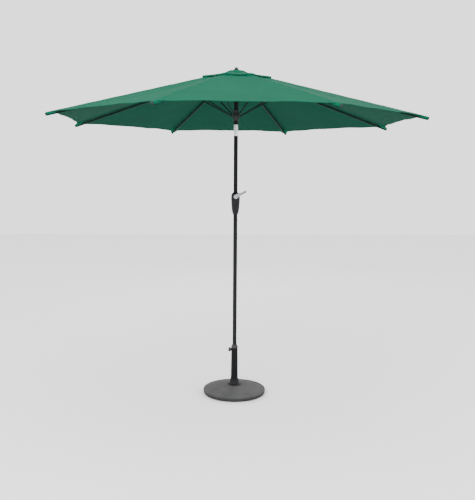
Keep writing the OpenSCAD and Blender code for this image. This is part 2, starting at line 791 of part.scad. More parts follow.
// Rib along X from its hub pivot at the origin: tube with an eye, two saddle plates, their pin, tip plug
module rib_shape() {
    tube_end = rib_len - tip_plug_len;
    plug_w = rib_w - 2 * rib_wall - 2 * run_fit;
    plug_d = rib_d - 2 * rib_wall - 2 * run_fit;
    difference() {
        union() {
            box_tube(rib_start, tube_end, rib_w, rib_d, rib_wall);
            rod_y(eye_r, -eye_w / 2, eye_w / 2);
            translate([0, -eye_w / 2, -eye_r]) cube([rib_start + eye_shank, eye_w, 2 * eye_r]);
        }
        rod_y(pin_r + run_fit, -eye_w, eye_w);
    }
    for (side = [0, 1]) mirror([0, side, 0]) translate([strut_at, rib_w / 2 + run_fit, 0]) difference() {
        union() {
            translate([-saddle_half_len, 0, -rib_d / 2 + skin])
                cube([2 * saddle_half_len, saddle_t, rib_d - 3 * skin]);
            translate([-saddle_neck_half, 0, -saddle_drop])
                cube([2 * saddle_neck_half, saddle_t, saddle_drop]);
            translate([0, 0, -saddle_drop]) rod_y(saddle_neck_half, 0, saddle_t);
        }
        translate([0, 0, -saddle_drop]) rod_y(pin_r + run_fit, -cut, saddle_t + cut);
    }
    translate([strut_at, 0, -saddle_drop]) rod_y(pin_r, -rib_w / 2 - saddle_t, rib_w / 2 + saddle_t);
    translate([tube_end - tip_spigot, -plug_w / 2, -plug_d / 2]) cube([tip_spigot + cut / 2, plug_w, plug_d]);
    translate([tube_end + run_fit, -rib_w / 2, -rib_d / 2]) cube([tip_plug_len, rib_w, rib_d]);
}

module rib(i) {
    color("#2d2e31") rotate(half_step + rib_step * i) translate([pivot_r, 0, hub_h])
        rotate([0, open_slope, 0]) rib_shape();
}

// Strut along X from its runner pin at the origin to the saddle pin
module strut_shape() {
    end_w = rib_w - 2 * slide_fit;
    difference() {
        union() {
            rod_y(strut_d / 2 + strut_eye_extra, -strut_w / 2, strut_w / 2);
            translate([0, -strut_w / 2, -strut_d / 2])
                cube([strut_body_start + strut_end_len / 2, strut_w, strut_d]);
            box_tube(strut_body_start, strut_len - strut_body_start / 2, strut_w, strut_d, rib_wall);
            translate([strut_len - strut_end_len, -strut_w / 2, -strut_d / 2])
                cube([strut_end_len, strut_w, strut_d]);
            translate([strut_len, 0, 0]) rod_y(strut_end_r, -end_w / 2, end_w / 2);
        }
        rod_y(pin_r + run_fit, -strut_w, strut_w);
        translate([strut_len, 0, 0]) rod_y(pin_r + run_fit, -rib_w, rib_w);
    }
    rod_y(pin_r, -pin_half, pin_half);
}

module strut(i) {
    color("#2d2e31") rotate(half_step + rib_step * i) translate([pivot_r, 0, runner_h])
        rotate([0, -strut_slope, 0]) strut_shape();
}

// ---- fabric ----

// A panel's half lies flat in a plane that holds the rib's ridge and falls away from its top point.
// Its outline is drawn with the panel's middle line along X, and the halves meet at the rib's seam.
gore_slope = atan(tan(open_slope) / cos(half_step));
ridge_lift = (rib_d / 2 + fabric_lift) / cos(open_slope);
ridge_top_h = hub_h + pivot_r * tan(open_slope) + ridge_lift;
cap_hole_r = (spacer_r + slide_fit) / cos(half_step);
cap_top_h = hub_top_h + spacer_h - 2;
cap_corner_h = ridge_top_h - cap_r * tan(open_slope) + cap_rise;
cap_slope = atan((cap_top_h - cap_corner_h) / cap_r / cos(half_step));
hem_steps = 8;
tip_corner = 8;          // how far the pocket's corners are cut back

// A point of the panel's plane: u along its middle line, v across it
function on_panel(u, v, slope) = [u / cos(slope), v];
function seam_v(u) = u * tan(half_step) - seam_gap / 2;

// One half of a main panel, from the vent opening to the concave hem and the pocket on the rib's tip
module main_half() {
    u_in = vent_r * cos(half_step);
    u_out = canopy_r * cos(half_step);
    u_hem = (canopy_r - hem_setback) * cos(half_step);
    v_hem = seam_v(u_hem) - pocket_half_w;
    pocket = [[u_out, seam_v(u_out)], [u_out - tip_corner, seam_v(u_out) - pocket_half_w * 0.7],
        [u_hem + tip_corner, v_hem]];
    hem = [for (i = [0:hem_steps]) let (t = i / hem_steps)
        [u_hem - hem_sag * (1 - (1 - t) * (1 - t)), v_hem * (1 - t) + panel_gap / 2 * t]];
    outline = concat([[u_in, panel_gap / 2], [u_in, seam_v(u_in)]], pocket, hem);
    translate([0, 0, ridge_top_h]) rotate([0, gore_slope, 0]) linear_extrude(fabric_t)
        polygon([for (p = outline) on_panel(p[0], p[1], gore_slope)]);
}

// One half of a vent cap panel, which is flatter than the main panel under it
module cap_half() {
    u_in = cap_hole_r * cos(half_step);
    u_out = cap_r * cos(half_step);
    outline = [[u_in, panel_gap / 2], [u_in, seam_v(u_in)], [u_out, seam_v(u_out)], [u_out, panel_gap / 2]];
    translate([0, 0, cap_top_h]) rotate([0, cap_slope, 0]) linear_extrude(fabric_t)
        polygon([for (p = outline) on_panel(p[0], p[1], cap_slope)]);
}

// The panel over one rib: two halves seamed over the rib, and the vent cap's halves above them
module canopy(i) {
    color("#2e8f68") rotate(half_step + rib_step * i) for (side = [0, 1]) mirror([0, side, 0])
        rotate(half_step) mirror([0, 1, 0]) {
            main_half();
            cap_half();
        }
}

// ---- the assembly ----

base_weight();
base_feet();
base_bolt();
base_tube();
tube_plug();
flared_cover();
lower_sleeve();
tube_collar();
clamp_screw();
clamp_knob();
pole_foot();
lower_pole();
housing_front();
housing_back();
housing_screws();
crank_bush();
tilt_fork();
tilt_pin();
tilt_button();
button_spring();
cord_lower();
crank_shaft();
crank_arm();
crank_fasteners();
cord_wound();
crank_knob();
tilt_tongue();
upper_pole();
hub();
hub_pins();
hub_plug();
pulley();
cord_upper();
finial();
runner();
cord_run();
for (i = [0:rib_count - 1]) {
    rib(i);
    strut(i);
    canopy(i);
}
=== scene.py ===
"""Patio umbrella with a weighted base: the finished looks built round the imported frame.

Each sub-assembly is a class that makes its meshes and dresses them. Metres, +Z up.
"""

import json
import logging
import math
from collections.abc import Callable, Iterable, Sequence
from dataclasses import dataclass, field
from enum import Enum

import bmesh
import bpy
from mathutils import Euler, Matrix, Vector, noise


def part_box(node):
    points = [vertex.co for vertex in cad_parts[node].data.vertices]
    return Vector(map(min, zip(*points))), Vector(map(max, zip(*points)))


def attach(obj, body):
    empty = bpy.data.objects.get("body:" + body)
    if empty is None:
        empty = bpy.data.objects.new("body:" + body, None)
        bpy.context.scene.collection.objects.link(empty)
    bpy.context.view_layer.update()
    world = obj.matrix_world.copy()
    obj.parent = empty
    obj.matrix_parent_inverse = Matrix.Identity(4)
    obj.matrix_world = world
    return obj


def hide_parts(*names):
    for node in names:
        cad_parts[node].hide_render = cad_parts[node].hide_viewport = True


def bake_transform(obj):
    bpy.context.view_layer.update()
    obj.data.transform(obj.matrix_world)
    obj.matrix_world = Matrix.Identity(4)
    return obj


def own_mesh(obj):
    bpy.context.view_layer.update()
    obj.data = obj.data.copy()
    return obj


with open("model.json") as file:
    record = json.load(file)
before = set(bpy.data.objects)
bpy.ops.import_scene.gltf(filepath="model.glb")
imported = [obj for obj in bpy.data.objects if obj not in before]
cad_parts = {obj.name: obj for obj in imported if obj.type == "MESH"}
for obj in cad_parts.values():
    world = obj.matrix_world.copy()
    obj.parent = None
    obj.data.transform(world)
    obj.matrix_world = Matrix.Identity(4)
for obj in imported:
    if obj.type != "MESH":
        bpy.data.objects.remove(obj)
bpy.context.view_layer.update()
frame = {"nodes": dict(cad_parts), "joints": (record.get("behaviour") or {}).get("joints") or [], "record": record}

log = logging.getLogger("umbrella")

Colour = tuple[float, float, float]
Point = tuple[float, float, float]
RIB_COUNT = 8
RIB_STEP = math.tau / RIB_COUNT
HALF_STEP = RIB_STEP / 2
MM = 0.001


# ---------------------------------------------------------------- shader tools


class Value:
    """A number that comes out of a shader socket, with arithmetic that adds Math nodes."""

    def __init__(self, shader: "Shader", socket: bpy.types.NodeSocket) -> None:
        """Wraps a socket.

        Args:
            shader: The material that the socket belongs to.
            socket: The output socket.
        """
        self.shader = shader
        self.socket = socket

    def _math(self, operation: str, *terms: "Value | float") -> "Value":
        """Adds one Math node.

        Args:
            operation: The node's operation.
            terms: Its inputs in order.

        Returns:
            The node's result.
        """
        inputs = {i: t.socket if isinstance(t, Value) else t for i, t in enumerate(terms)}
        node = self.shader.node("ShaderNodeMath", {"operation": operation}, inputs)
        return Value(self.shader, node.outputs[0])

    def __add__(self, other: "Value | float") -> "Value":
        """Adds."""
        return self._math("ADD", self, other)

    __radd__ = __add__

    def __sub__(self, other: "Value | float") -> "Value":
        """Subtracts."""
        return self._math("SUBTRACT", self, other)

    def __rsub__(self, other: float) -> "Value":
        """Subtracts this from a number."""
        return self._math("SUBTRACT", other, self)

    def __mul__(self, other: "Value | float") -> "Value":
        """Multiplies."""
        return self._math("MULTIPLY", self, other)

    __rmul__ = __mul__

    def __pow__(self, power: float) -> "Value":
        """Raises to a power."""
        return self._math("POWER", self, power)

    def step(self, low: float, high: float) -> "Value":
        """Rises smoothly from 0 at low to 1 at high.

        Args:
            low: Where the rise begins.
            high: Where it ends.

        Returns:
            The mask.
        """
        settings = {"interpolation_type": "SMOOTHSTEP"}
        inputs = {"Value": self.socket, "From Min": low, "From Max": high}
        node = self.shader.node("ShaderNodeMapRange", settings, inputs)
        return Value(self.shader, node.outputs[0])


class Shader:
    """Builds one node material round a Principled surface."""

    def __init__(self, name: str) -> None:
        """Starts a material.

        Args:
            name: The material's name.
        """
        self.material = bpy.data.materials.new(name)
        self.material.use_nodes = True
        self.tree = self.material.node_tree
        self.surface = self.tree.nodes["Principled BSDF"]
        self.output = self.tree.nodes["Material Output"]
        self.place = self.node("ShaderNodeTexCoord").outputs["Object"]

    def node(
        self,
        kind: str,
        settings: dict[str, object] | None = None,
        inputs: dict[str | int, object] | None = None,
    ) -> bpy.types.Node:
        """Adds a node.

        Args:
            kind: The node's type name.
            settings: Properties, which are set first.
            inputs: Sockets by name or number, each with a value, a socket or a Value.

        Returns:
            The node.
        """
        made = self.tree.nodes.new(kind)
        for key, value in (settings or {}).items():
            setattr(made, key, value)
        for key, value in (inputs or {}).items():
            socket = value.socket if isinstance(value, Value) else value
            if isinstance(socket, bpy.types.NodeSocket):
                self.tree.links.new(socket, made.inputs[key])
            else:
                made.inputs[key].default_value = socket
        return made

    def stretched(self, scale: Point) -> bpy.types.NodeSocket:
        """The place on the object, stretched along each axis.

        Args:
            scale: The factor along X, Y and Z.

        Returns:
            The scaled place.
        """
        settings = {"operation": "MULTIPLY"}
        return self.node("ShaderNodeVectorMath", settings, {0: self.place, 1: scale}).outputs[0]

    def noise(
        self, scale: float, detail: float = 3.0, stretch: Point = (1, 1, 1), rough: float = 0.5
    ) -> Value:
        """Smooth random mottling.

        Args:
            scale: Features per metre.
            detail: Octaves.
            stretch: The factor along each axis.
            rough: How strong the finer octaves are.

        Returns:
            A value near 0.5 that varies by place.
        """
        inputs = {"Vector": self.stretched(stretch), "Scale": scale, "Detail": detail, "Roughness": rough}
        return Value(self, self.node("ShaderNodeTexNoise", None, inputs).outputs[0])

    def cells(self, scale: float) -> Value:
        """Distance to scattered grains, for stone and speckle.

        Args:
            scale: Grains per metre.

        Returns:
            The distance, from 0 at a grain's middle.
        """
        inputs = {"Vector": self.place, "Scale": scale}
        return Value(self, self.node("ShaderNodeTexVoronoi", None, inputs).outputs["Distance"])

    def threads(self, axis: str, per_metre: float) -> Value:
        """Parallel threads across one axis.

        Args:
            axis: X, Y or Z, the way that the threads follow each other.
            per_metre: Threads per metre.

        Returns:
            A wave from 0 to 1.
        """
        settings = {"wave_type": "BANDS", "bands_direction": axis, "wave_profile": "SIN"}
        inputs = {"Vector": self.place, "Scale": per_metre / 20 * math.tau, "Distortion": 0.0}
        return Value(self, self.node("ShaderNodeTexWave", settings, inputs).outputs["Fac"])

    def mix(self, mask: Value, base: Colour | bpy.types.NodeSocket, top: Colour) -> bpy.types.NodeSocket:
        """Lays one colour over another.

        Args:
            mask: Where the top colour shows.
            base: The colour below.
            top: The colour above.

        Returns:
            The mixed colour.
        """
        below = base if isinstance(base, bpy.types.NodeSocket) else (*base, 1.0)
        inputs = {0: mask, 6: below, 7: (*top, 1.0)}
        return self.node("ShaderNodeMix", {"data_type": "RGBA"}, inputs).outputs[2]

    def bump(self, height: Value, distance: float, strength: float = 1.0) -> bpy.types.NodeSocket:
        """Turns a height into a surface normal.

        Args:
            height: The relief, from 0 to 1.
            distance: The relief's depth in metres.
            strength: How much of it shows.

        Returns:
            The normal.
        """
        inputs = {"Height": height, "Distance": distance, "Strength": strength}
        return self.node("ShaderNodeBump", None, inputs).outputs[0]

    def dress(self, **sockets: object) -> bpy.types.Material:
        """Sets the surface's sockets.

        Args:
            sockets: Socket names with underscores for spaces, each with a number, a colour or a link.

        Returns:
            The finished material.
        """
        for key, value in sockets.items():
            target = self.surface.inputs[key.replace("_", " ")]
            socket = value.socket if isinstance(value, Value) else value
            if isinstance(socket, bpy.types.NodeSocket):
                self.tree.links.new(socket, target)
            elif isinstance(socket, tuple):
                target.default_value = (*socket, 1.0)
            else:
                target.default_value = socket
        return self.material


# -------------------------------------------------------------------- finishes


def shade(colour: Colour, factor: float) -> Colour:
    """A colour made darker or lighter.

    Args:
        colour: Linear red, green and blue.
        factor: What each is multiplied by.

    Returns:
        The new colour.
    """
    return tuple(min(1.0, c * factor) for c in colour)


@dataclass(frozen=True)
class PowderCoat:
    """Baked paint on steel: a fine orange-peel skin with faint scuffs."""

    colour: Colour
    rough: float = 0.42
    sheen: float = 0.08

    def make(self, name: str) -> bpy.types.Material:
        """Builds the finish's material.

        Args:
            name: The material's name.

        Returns:
            The material.
        """
        s = Shader(name)
        peel = s.noise(900.0, 2.0)
        patch = s.noise(14.0, 4.0, (1, 1, 0.35))
        scuff = s.noise(260.0, 4.0, (1, 1, 0.15), 0.7).step(0.66, 0.74)
        colour = s.mix(patch.step(0.35, 0.7), shade(self.colour, 0.85), shade(self.colour, 1.2))
        colour = s.mix(scuff * 0.25, colour, shade(self.colour, 1.8))
        return s.dress(
            Base_Color=colour,
            Roughness=self.rough - 0.06 + patch * 0.12 + scuff * 0.1,
            Metallic=0.0,
            Specular_IOR_Level=self.sheen,
            Normal=s.bump(peel, 0.00004, 0.25),
        )


@dataclass(frozen=True)
class MouldedPlastic:
    """Spark-eroded moulded plastic: fine grain with faint pale speckle on its raised points."""

    colour: Colour
    rough: float = 0.55
    grain: float = 1400.0

    def make(self, name: str) -> bpy.types.Material:
        """Builds the finish's material.

        Args:
            name: The material's name.

        Returns:
            The material.
        """
        s = Shader(name)
        grain = s.noise(self.grain, 3.0, (1, 1, 1), 0.7)
        patch = s.noise(30.0, 3.0)
        colour = s.mix(patch.step(0.3, 0.75), shade(self.colour, 0.85), shade(self.colour, 1.25))
        colour = s.mix(grain.step(0.62, 0.8) * 0.25, colour, shade(self.colour, 2.2))
        return s.dress(
            Base_Color=colour,
            Roughness=self.rough - 0.08 + grain * 0.16,
            Specular_IOR_Level=0.16,
            Normal=s.bump(grain, 0.00008, 0.35),
        )


@dataclass(frozen=True)
class CastStone:
    """Cast resin and stone: sandy grain, small pits, and painted shade that darkens the low side."""

    colour: Colour

    def make(self, name: str) -> bpy.types.Material:
        """Builds the finish's material.

        Args:
            name: The material's name.

        Returns:
            The material.
        """
        s = Shader(name)
        cloud = s.noise(9.0, 5.0, (1, 1, 1), 0.6)
        sand = s.noise(420.0, 4.0, (1, 1, 1), 0.75)
        pits = s.cells(190.0).step(0.06, 0.16)
        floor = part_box("base_weight")[0].z
        height = s.node("ShaderNodeSeparateXYZ", None, {0: s.place}).outputs[2]
        # Painted shade: a mask by height that darkens the base's low side, where shade falls under its rim.
        painted_shade_low_side = 1 - Value(s, height).step(floor + 0.018, floor + 0.036)
        colour = s.mix(cloud.step(0.3, 0.7), shade(self.colour, 0.82), shade(self.colour, 1.18))
        colour = s.mix(sand.step(0.5, 0.72) * 0.4, colour, shade(self.colour, 1.7))
        colour = s.mix(sand.step(0.5, 0.28) * 0.45, colour, shade(self.colour, 0.45))
        # Lays the painted shade on the low side.
        colour = s.mix(painted_shade_low_side * 0.75, colour, shade(self.colour, 0.28))
        colour = s.mix((1 - pits) * 0.5, colour, shade(self.colour, 0.35))
        relief = sand * 0.5 + pits * 0.5 + cloud * 0.3
        return s.dress(
            Base_Color=colour,
            Roughness=0.78 + sand * 0.15,
            Specular_IOR_Level=0.2,
            Normal=s.bump(relief, 0.0006, 0.8),
        )


@dataclass(frozen=True)
class BrightMetal:
    """Plated or polished metal with fine turning marks and finger smears."""

    colour: Colour
    rough: float = 0.18
    marks: Point = (1, 1, 12)

    def make(self, name: str) -> bpy.types.Material:
        """Builds the finish's material.

        Args:
            name: The material's name.

        Returns:
            The material.
        """
        s = Shader(name)
        marks = s.noise(500.0, 3.0, self.marks, 0.7)
        smear = s.noise(45.0, 4.0)
        colour = s.mix(smear.step(0.35, 0.75), self.colour, shade(self.colour, 0.8))
        return s.dress(
            Base_Color=colour,
            Metallic=1.0,
            Roughness=self.rough + smear * 0.12 + marks * 0.06,
            Normal=s.bump(marks, 0.00004, 0.5),
        )


@dataclass(frozen=True)
class WovenCloth:
    """Plain-woven polyester: crossing threads, slight slubs, and light that passes through."""

    colour: Colour
    threads_per_metre: float = 1500.0
    through: float = 0.05

    def make(self, name: str) -> bpy.types.Material:
        """Builds the finish's material.

        Args:
            name: The material's name.

        Returns:
            The material.
        """
        s = Shader(name)
        warp = s.threads("X", self.threads_per_metre)
        weft = s.threads("Y", self.threads_per_metre)
        slub = s.noise(600.0, 2.0, (1, 0.06, 1)) * 0.5 + s.noise(600.0, 2.0, (0.06, 1, 1)) * 0.5
        fade = s.noise(2.6, 4.0, (1, 1, 1), 0.55)
        creases = s.noise(11.0, 3.0, (1, 1, 1), 0.6)
        weave = warp * weft + slub * 0.8
        colour = s.mix(fade.step(0.3, 0.7), shade(self.colour, 0.92), shade(self.colour, 1.07))
        colour = s.mix(slub.step(0.45, 0.62) * 0.25, colour, shade(self.colour, 1.3))
        colour = s.mix((1 - warp * weft) * 0.12, colour, shade(self.colour, 0.5))
        normal = s.bump(weave, 0.00025, 0.35)
        crease_sockets = {"Height": creases, "Distance": 0.006, "Strength": 0.25, "Normal": normal}
        soft = s.node("ShaderNodeBump", None, crease_sockets)
        normal = soft.outputs[0]
        s.dress(Base_Color=colour, Roughness=0.86 + slub * 0.1, Normal=normal, Specular_IOR_Level=0.06)
        glow = s.node("ShaderNodeBsdfTranslucent", None, {"Color": colour, "Normal": normal})
        sockets = {0: self.through, 1: s.surface.outputs[0], 2: glow.outputs[0]}
        both = s.node("ShaderNodeMixShader", None, sockets)
        s.tree.links.new(both.outputs[0], s.output.inputs[0])
        return s.material


@dataclass(frozen=True)
class BraidedCord:
    """Braided cord: slanting strands round a thin core."""

    colour: Colour

    def make(self, name: str) -> bpy.types.Material:
        """Builds the finish's material.

        Args:
            name: The material's name.

        Returns:
            The material.
        """
        s = Shader(name)
        strands = s.threads("Z", 500.0) * s.threads("DIAGONAL", 700.0)
        fuzz = s.noise(2500.0, 2.0)
        colour = s.mix(strands.step(0.2, 0.8), shade(self.colour, 0.6), shade(self.colour, 1.5))
        return s.dress(Base_Color=colour, Roughness=0.8 + fuzz * 0.15, Normal=s.bump(strands, 0.0003))


class Finish(Enum):
    """Every finish on the umbrella, by what it is used on."""

    POLE = PowderCoat((0.010, 0.011, 0.012), 0.55, 0.05)
    BASE_TUBE = PowderCoat((0.006, 0.006, 0.007), 0.55)
    RIB = PowderCoat((0.007, 0.024, 0.018), 0.6, 0.04)
    BLACK_PLASTIC = MouldedPlastic((0.007, 0.007, 0.008))
    HOUSING = MouldedPlastic((0.006, 0.006, 0.008), 0.5)
    FLARED_COVER = MouldedPlastic((0.007, 0.007, 0.008), 0.6)
    FINIAL = MouldedPlastic((0.030, 0.032, 0.035), 0.5)
    TIP = MouldedPlastic((0.014, 0.024, 0.021), 0.8)
    PALE_PLASTIC = MouldedPlastic((0.55, 0.55, 0.52), 0.45)
    RUBBER = MouldedPlastic((0.02, 0.02, 0.02), 0.8, 900.0)
    STONE = CastStone((0.053, 0.053, 0.053))
    ZINC = BrightMetal((0.55, 0.56, 0.57), 0.32, (1, 1, 1))
    TILT_PLATE = BrightMetal((0.86, 0.87, 0.88), 0.16)
    ARM_METAL = BrightMetal((0.30, 0.31, 0.32), 0.40, (1, 8, 1))
    CLOTH = WovenCloth((0.0004, 0.083, 0.045))
    # Painted shade: the canopy's underside, a darker cloth standing in for the shade beneath the canopy.
    CLOTH_BACK = WovenCloth((0.0001, 0.042, 0.024), 1500.0, 0.02)
    BINDING = WovenCloth((0.0006, 0.052, 0.030), 1900.0, 0.02)
    CORD = BraidedCord((0.035, 0.035, 0.033))

    def material(self) -> bpy.types.Material:
        """The finish as a material, made once."""
        return bpy.data.materials.get(self.name.lower()) or self.value.make(self.name.lower())


CAD_FINISH: dict[str, Finish] = {
    "base_stone": Finish.STONE,
    "foot_rubber": Finish.RUBBER,
    "zinc_steel": Finish.ZINC,
    "tube_paint": Finish.BASE_TUBE,
    "pole_paint": Finish.POLE,
    "rib_paint": Finish.RIB,
    "cover_plastic": Finish.FLARED_COVER,
    "black_plastic": Finish.BLACK_PLASTIC,
    "housing_plastic": Finish.HOUSING,
    "pale_plastic": Finish.PALE_PLASTIC,
    "tilt_chrome": Finish.TILT_PLATE,
    "arm_aluminium": Finish.ARM_METAL,
    "finial_plastic": Finish.FINIAL,
    "lift_cord": Finish.CORD,
    "canopy_cloth": Finish.CLOTH,
}


# ------------------------------------------------------------------ mesh tools


class Piece:
    """A mesh in the making: points, faces, and how it is dressed and carried."""

    def __init__(self, name: str) -> None:
        """Starts an empty mesh.

        Args:
            name: The piece's name.
        """
        self.name = name
        self.points: list[Point] = []
        self.faces: list[tuple[int, ...]] = []

    def grid(self, rows: Sequence[Sequence[Point]], closed: bool = False) -> list[list[int]]:
        """Adds a sheet of four-sided faces.

        Args:
            rows: Rows of points, all as long as each other.
            closed: Whether each row's end joins its start.

        Returns:
            The numbers of the points, row by row.
        """
        start = len(self.points)
        width = len(rows[0])
        for row in rows:
            self.points.extend(tuple(p) for p in row)
        index = [[start + i * width + j for j in range(width)] for i in range(len(rows))]
        for a, b in zip(index, index[1:]):
            for j in range(width if closed else width - 1):
                k = (j + 1) % width
                self.faces.append((a[j], a[k], b[k], b[j]))
        return index

    def cap(self, ring: Sequence[int], flip: bool = False) -> None:
        """Closes a ring of points with one face."""
        self.faces.append(tuple(reversed(ring)) if flip else tuple(ring))

    def build(
        self,
        finish: Finish,
        body: str,
        slot: str,
        replaces: Iterable[str] = (),
        sharp: float = 40.0,
        thickness: float = 0.0,
        back: Finish | None = None,
    ) -> bpy.types.Object:
        """Makes the object, dresses it and lets it ride on its body.

        Args:
            finish: The finish it is dressed in.
            body: The body that it rides on.
            slot: The record's material slot; not used.
            replaces: CAD nodes that it stands for.
            sharp: Edges that bend more than this, in degrees, stay crisp.
            thickness: A sheet's thickness in metres, laid on its inner side.
            back: The finish of a sheet's inner side, where it differs; the canopy uses a darker cloth there as
                painted shade on the underside.

        Returns:
            The object.
        """
        mesh = bpy.data.meshes.new(self.name)
        mesh.from_pydata(self.points, [], self.faces)
        mesh.validate()
        mesh.shade_smooth()
        mesh.set_sharp_from_angle(angle=math.radians(sharp))
        crisp_border(mesh)
        mesh.materials.append(finish.material())
        made = bpy.data.objects.new(self.name, mesh)
        bpy.context.scene.collection.objects.link(made)
        if thickness:
            solid = made.modifiers.new("thickness", "SOLIDIFY")
            solid.thickness = thickness
            solid.offset = -1.0
            # The inner side takes its own finish; on the canopy this is painted shade on the underside.
            if back:
                mesh.materials.append(back.material())
                solid.material_offset = 1
        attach(made, body)
        replaced = list(replaces)
        if replaced:
            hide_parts(*replaced)
        return made


def crisp_border(mesh: bpy.types.Mesh) -> None:
    """Keeps a sheet's free edges crisp, so that neighbouring sheets shade alike where they meet.

    Args:
        mesh: The sheet's mesh.
    """
    uses: dict[tuple[int, int], int] = {}
    for face in mesh.polygons:
        for key in face.edge_keys:
            uses[key] = uses.get(key, 0) + 1
    for edge in mesh.edges:
        if uses.get(edge.key, 0) == 1:
            edge.use_edge_sharp = True


def lathe(
    name: str,
    profile: Sequence[tuple[float, float]],
    place: Callable[[float, float, float], Point] = lambda x, y, z: (x, y, z),
    segments: int = 96,
    swell: Callable[[float, float], float] = lambda turn, radius: radius,
) -> Piece:
    """Turns an outline into a closed body of revolution.

    Args:
        name: The piece's name.
        profile: Radius and height pairs, from one end to the other.
        place: Moves a point from the lathe's axes to the object's.
        segments: Points round the turn.
        swell: Changes the radius with the angle, for lobes.

    Returns:
        The piece, closed at both ends.
    """
    piece = Piece(name)
    turns = [math.tau * i / segments for i in range(segments)]
    rows = [
        [place(swell(t, r) * math.cos(t), swell(t, r) * math.sin(t), z) for t in turns] for r, z in profile
    ]
    index = piece.grid(rows, closed=True)
    piece.cap(index[0], flip=True)
    piece.cap(index[-1])
    return piece


def rounded(
    profile: Sequence[tuple[float, float]], radius: float, steps: int = 4
) -> list[tuple[float, float]]:
    """Rounds the inner corners of an outline.

    Args:
        profile: The outline's corners.
        radius: The largest rounding.
        steps: Points in each rounding.

    Returns:
        The smoother outline.
    """
    out = [profile[0]]
    for before, corner, after in zip(profile, profile[1:], profile[2:]):
        a, b, c = (Vector((*p, 0)) for p in (before, corner, after))
        reach = min(radius, (a - b).length * 0.45, (c - b).length * 0.45)
        start, end = b + (a - b).normalized() * reach, b + (c - b).normalized() * reach
        for i in range(steps + 1):
            t = i / steps
            p = start * (1 - t) ** 2 + b * 2 * t * (1 - t) + end * t * t
            out.append((p.x, p.y))
    out.append(profile[-1])
    return out


def soften_cad(width: float = 0.0006) -> None:
    """Gives every shown CAD node its finish and a small bevel, so that its edges catch the light.

    Args:
        width: The bevel's width in metres.
    """
    slots = {row["node"]: row["material_slot"] for row in frame["record"]["subparts"]}
    for node_name, node in frame["nodes"].items():
        node.data.materials.clear()
        node.data.materials.append(CAD_FINISH[slots[node_name]].material())
        node.data.shade_smooth()
        node.data.set_sharp_from_angle(angle=math.radians(30))
        bevel = node.modifiers.new("edges", "BEVEL")
        bevel.width = width
        bevel.segments = 2
        bevel.limit_method = "ANGLE"
        bevel.angle_limit = math.radians(40)
        bevel.harden_normals = True


# --------------------------------------------------------------- sub-assemblies


@dataclass
class WeightedBase:
    """The round cast base and the flared cover at the tube's foot."""

    segments: int = 160
    lip: float = 0.008
    unevenness: float = 0.0004
    made: list[str] = field(default_factory=list)

    def outline(self) -> list[tuple[float, float]]:
        """The base's half outline, from under its middle, round the edge, to the tube's hole.

        Returns:
            Pairs of radius and height.
        """
        low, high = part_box("base_weight")
        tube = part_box("base_tube")[1].y + 0.0005
        radius, floor, top = high.x, low.z, high.z
        edge = floor + 0.040
        dome = []
        for i in range(25):
            r = (radius - self.lip) * (1 - i / 24) + tube * i / 24
            rise = math.cos(math.pi / 2 * r / radius)
            dome.append((r, edge - 0.004 + (top - edge + 0.004) * rise))
        side = [(0.10, floor), (radius - 0.010, floor), (radius - 0.004, floor + 0.004)]
        side += [(radius - 0.001, floor + 0.012)]
        corner = [(radius, edge - 0.012), (radius - 0.002, edge - 0.006)]
        return rounded([(0.03, floor), *side, *corner, *dome], 0.009, 5)

    def build(self) -> None:
        """Makes the cast base and its cover."""
        base = lathe("cast_base", self.outline(), segments=self.segments)
        rough = self.unevenness
        base.points = [
            (x, y, z + rough * noise.noise(Vector((x * 38, y * 38, z * 38))) if z > 0.02 else z)
            for x, y, z in base.points
        ]
        base.build(Finish.STONE, "base", "base_stone", ["base_weight"], sharp=60)
        self.made.append("cast_base")
        self.cover()

    def cover(self) -> None:
        """Makes the flared cover, a bell that runs out thin on the base."""
        low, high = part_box("flared_cover")
        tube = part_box("base_tube")[1].y
        foot, top, bottom = high.x, high.z, low.z
        neck = tube + 0.0040
        sweep = []
        for i in range(21):
            turn = math.pi / 2 * i / 20
            reach = (foot - neck) * (1 - math.sin(turn)) ** 1.25
            height = bottom + 0.0035 + (top - bottom - 0.010) * (1 - math.cos(turn)) ** 0.9
            sweep.append((neck + reach, height))
        outline = [(foot - 0.006, bottom), (foot, bottom + 0.0006), (foot, bottom + 0.0022), *sweep]
        outline += [(neck - 0.0006, top - 0.002), (neck - 0.0016, top)]
        outline += [(tube + 0.0004, top), (tube + 0.0004, top - 0.01)]
        cover = lathe("flared_foot_cover", rounded(outline, 0.0015, 3))
        cover.build(Finish.FLARED_COVER, "base", "cover_plastic", ["flared_cover"])
        self.made.append("flared_foot_cover")


@dataclass
class ClampKnob:
    """The lobed knob that locks the pole in the base tube."""

    lobes: int = 6
    lobe_depth: float = 0.0026
    made: list[str] = field(default_factory=list)

    def build(self) -> None:
        """Makes the knob with soft lobes and a dished face."""
        low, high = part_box("clamp_knob")
        axis_h = (low.z + high.z) / 2
        radius = (high.z - low.z) / 2 - self.lobe_depth / 2
        inner, outer = -high.x, -low.x
        length = outer - inner

        def lobed(turn: float, r: float) -> float:
            """Radius of the lobed rim at an angle."""
            share = max(0.0, (r / radius - 0.6) / 0.4)
            return r + self.lobe_depth * share * (0.5 * math.cos(self.lobes * turn) - 0.5)

        profile = [(0.0042, 0.0), (radius * 0.66, 0.0), (radius * 0.94, length * 0.06)]
        profile += [(radius, length * 0.20)]
        profile += [(radius, length * 0.78), (radius * 0.96, length * 0.92), (radius * 0.80, length)]
        profile += [(radius * 0.46, length * 0.985), (radius * 0.38, length * 0.94), (0.001, length * 0.93)]
        knob = lathe(
            "lobed_clamp_knob",
            rounded(profile, 0.002, 4),
            lambda x, y, z: (-(inner + z), y, axis_h + x),
            96,
            lobed,
        )
        knob.build(Finish.BLACK_PLASTIC, "clamp", "black_plastic", ["clamp_knob"])
        self.made.append("lobed_clamp_knob")


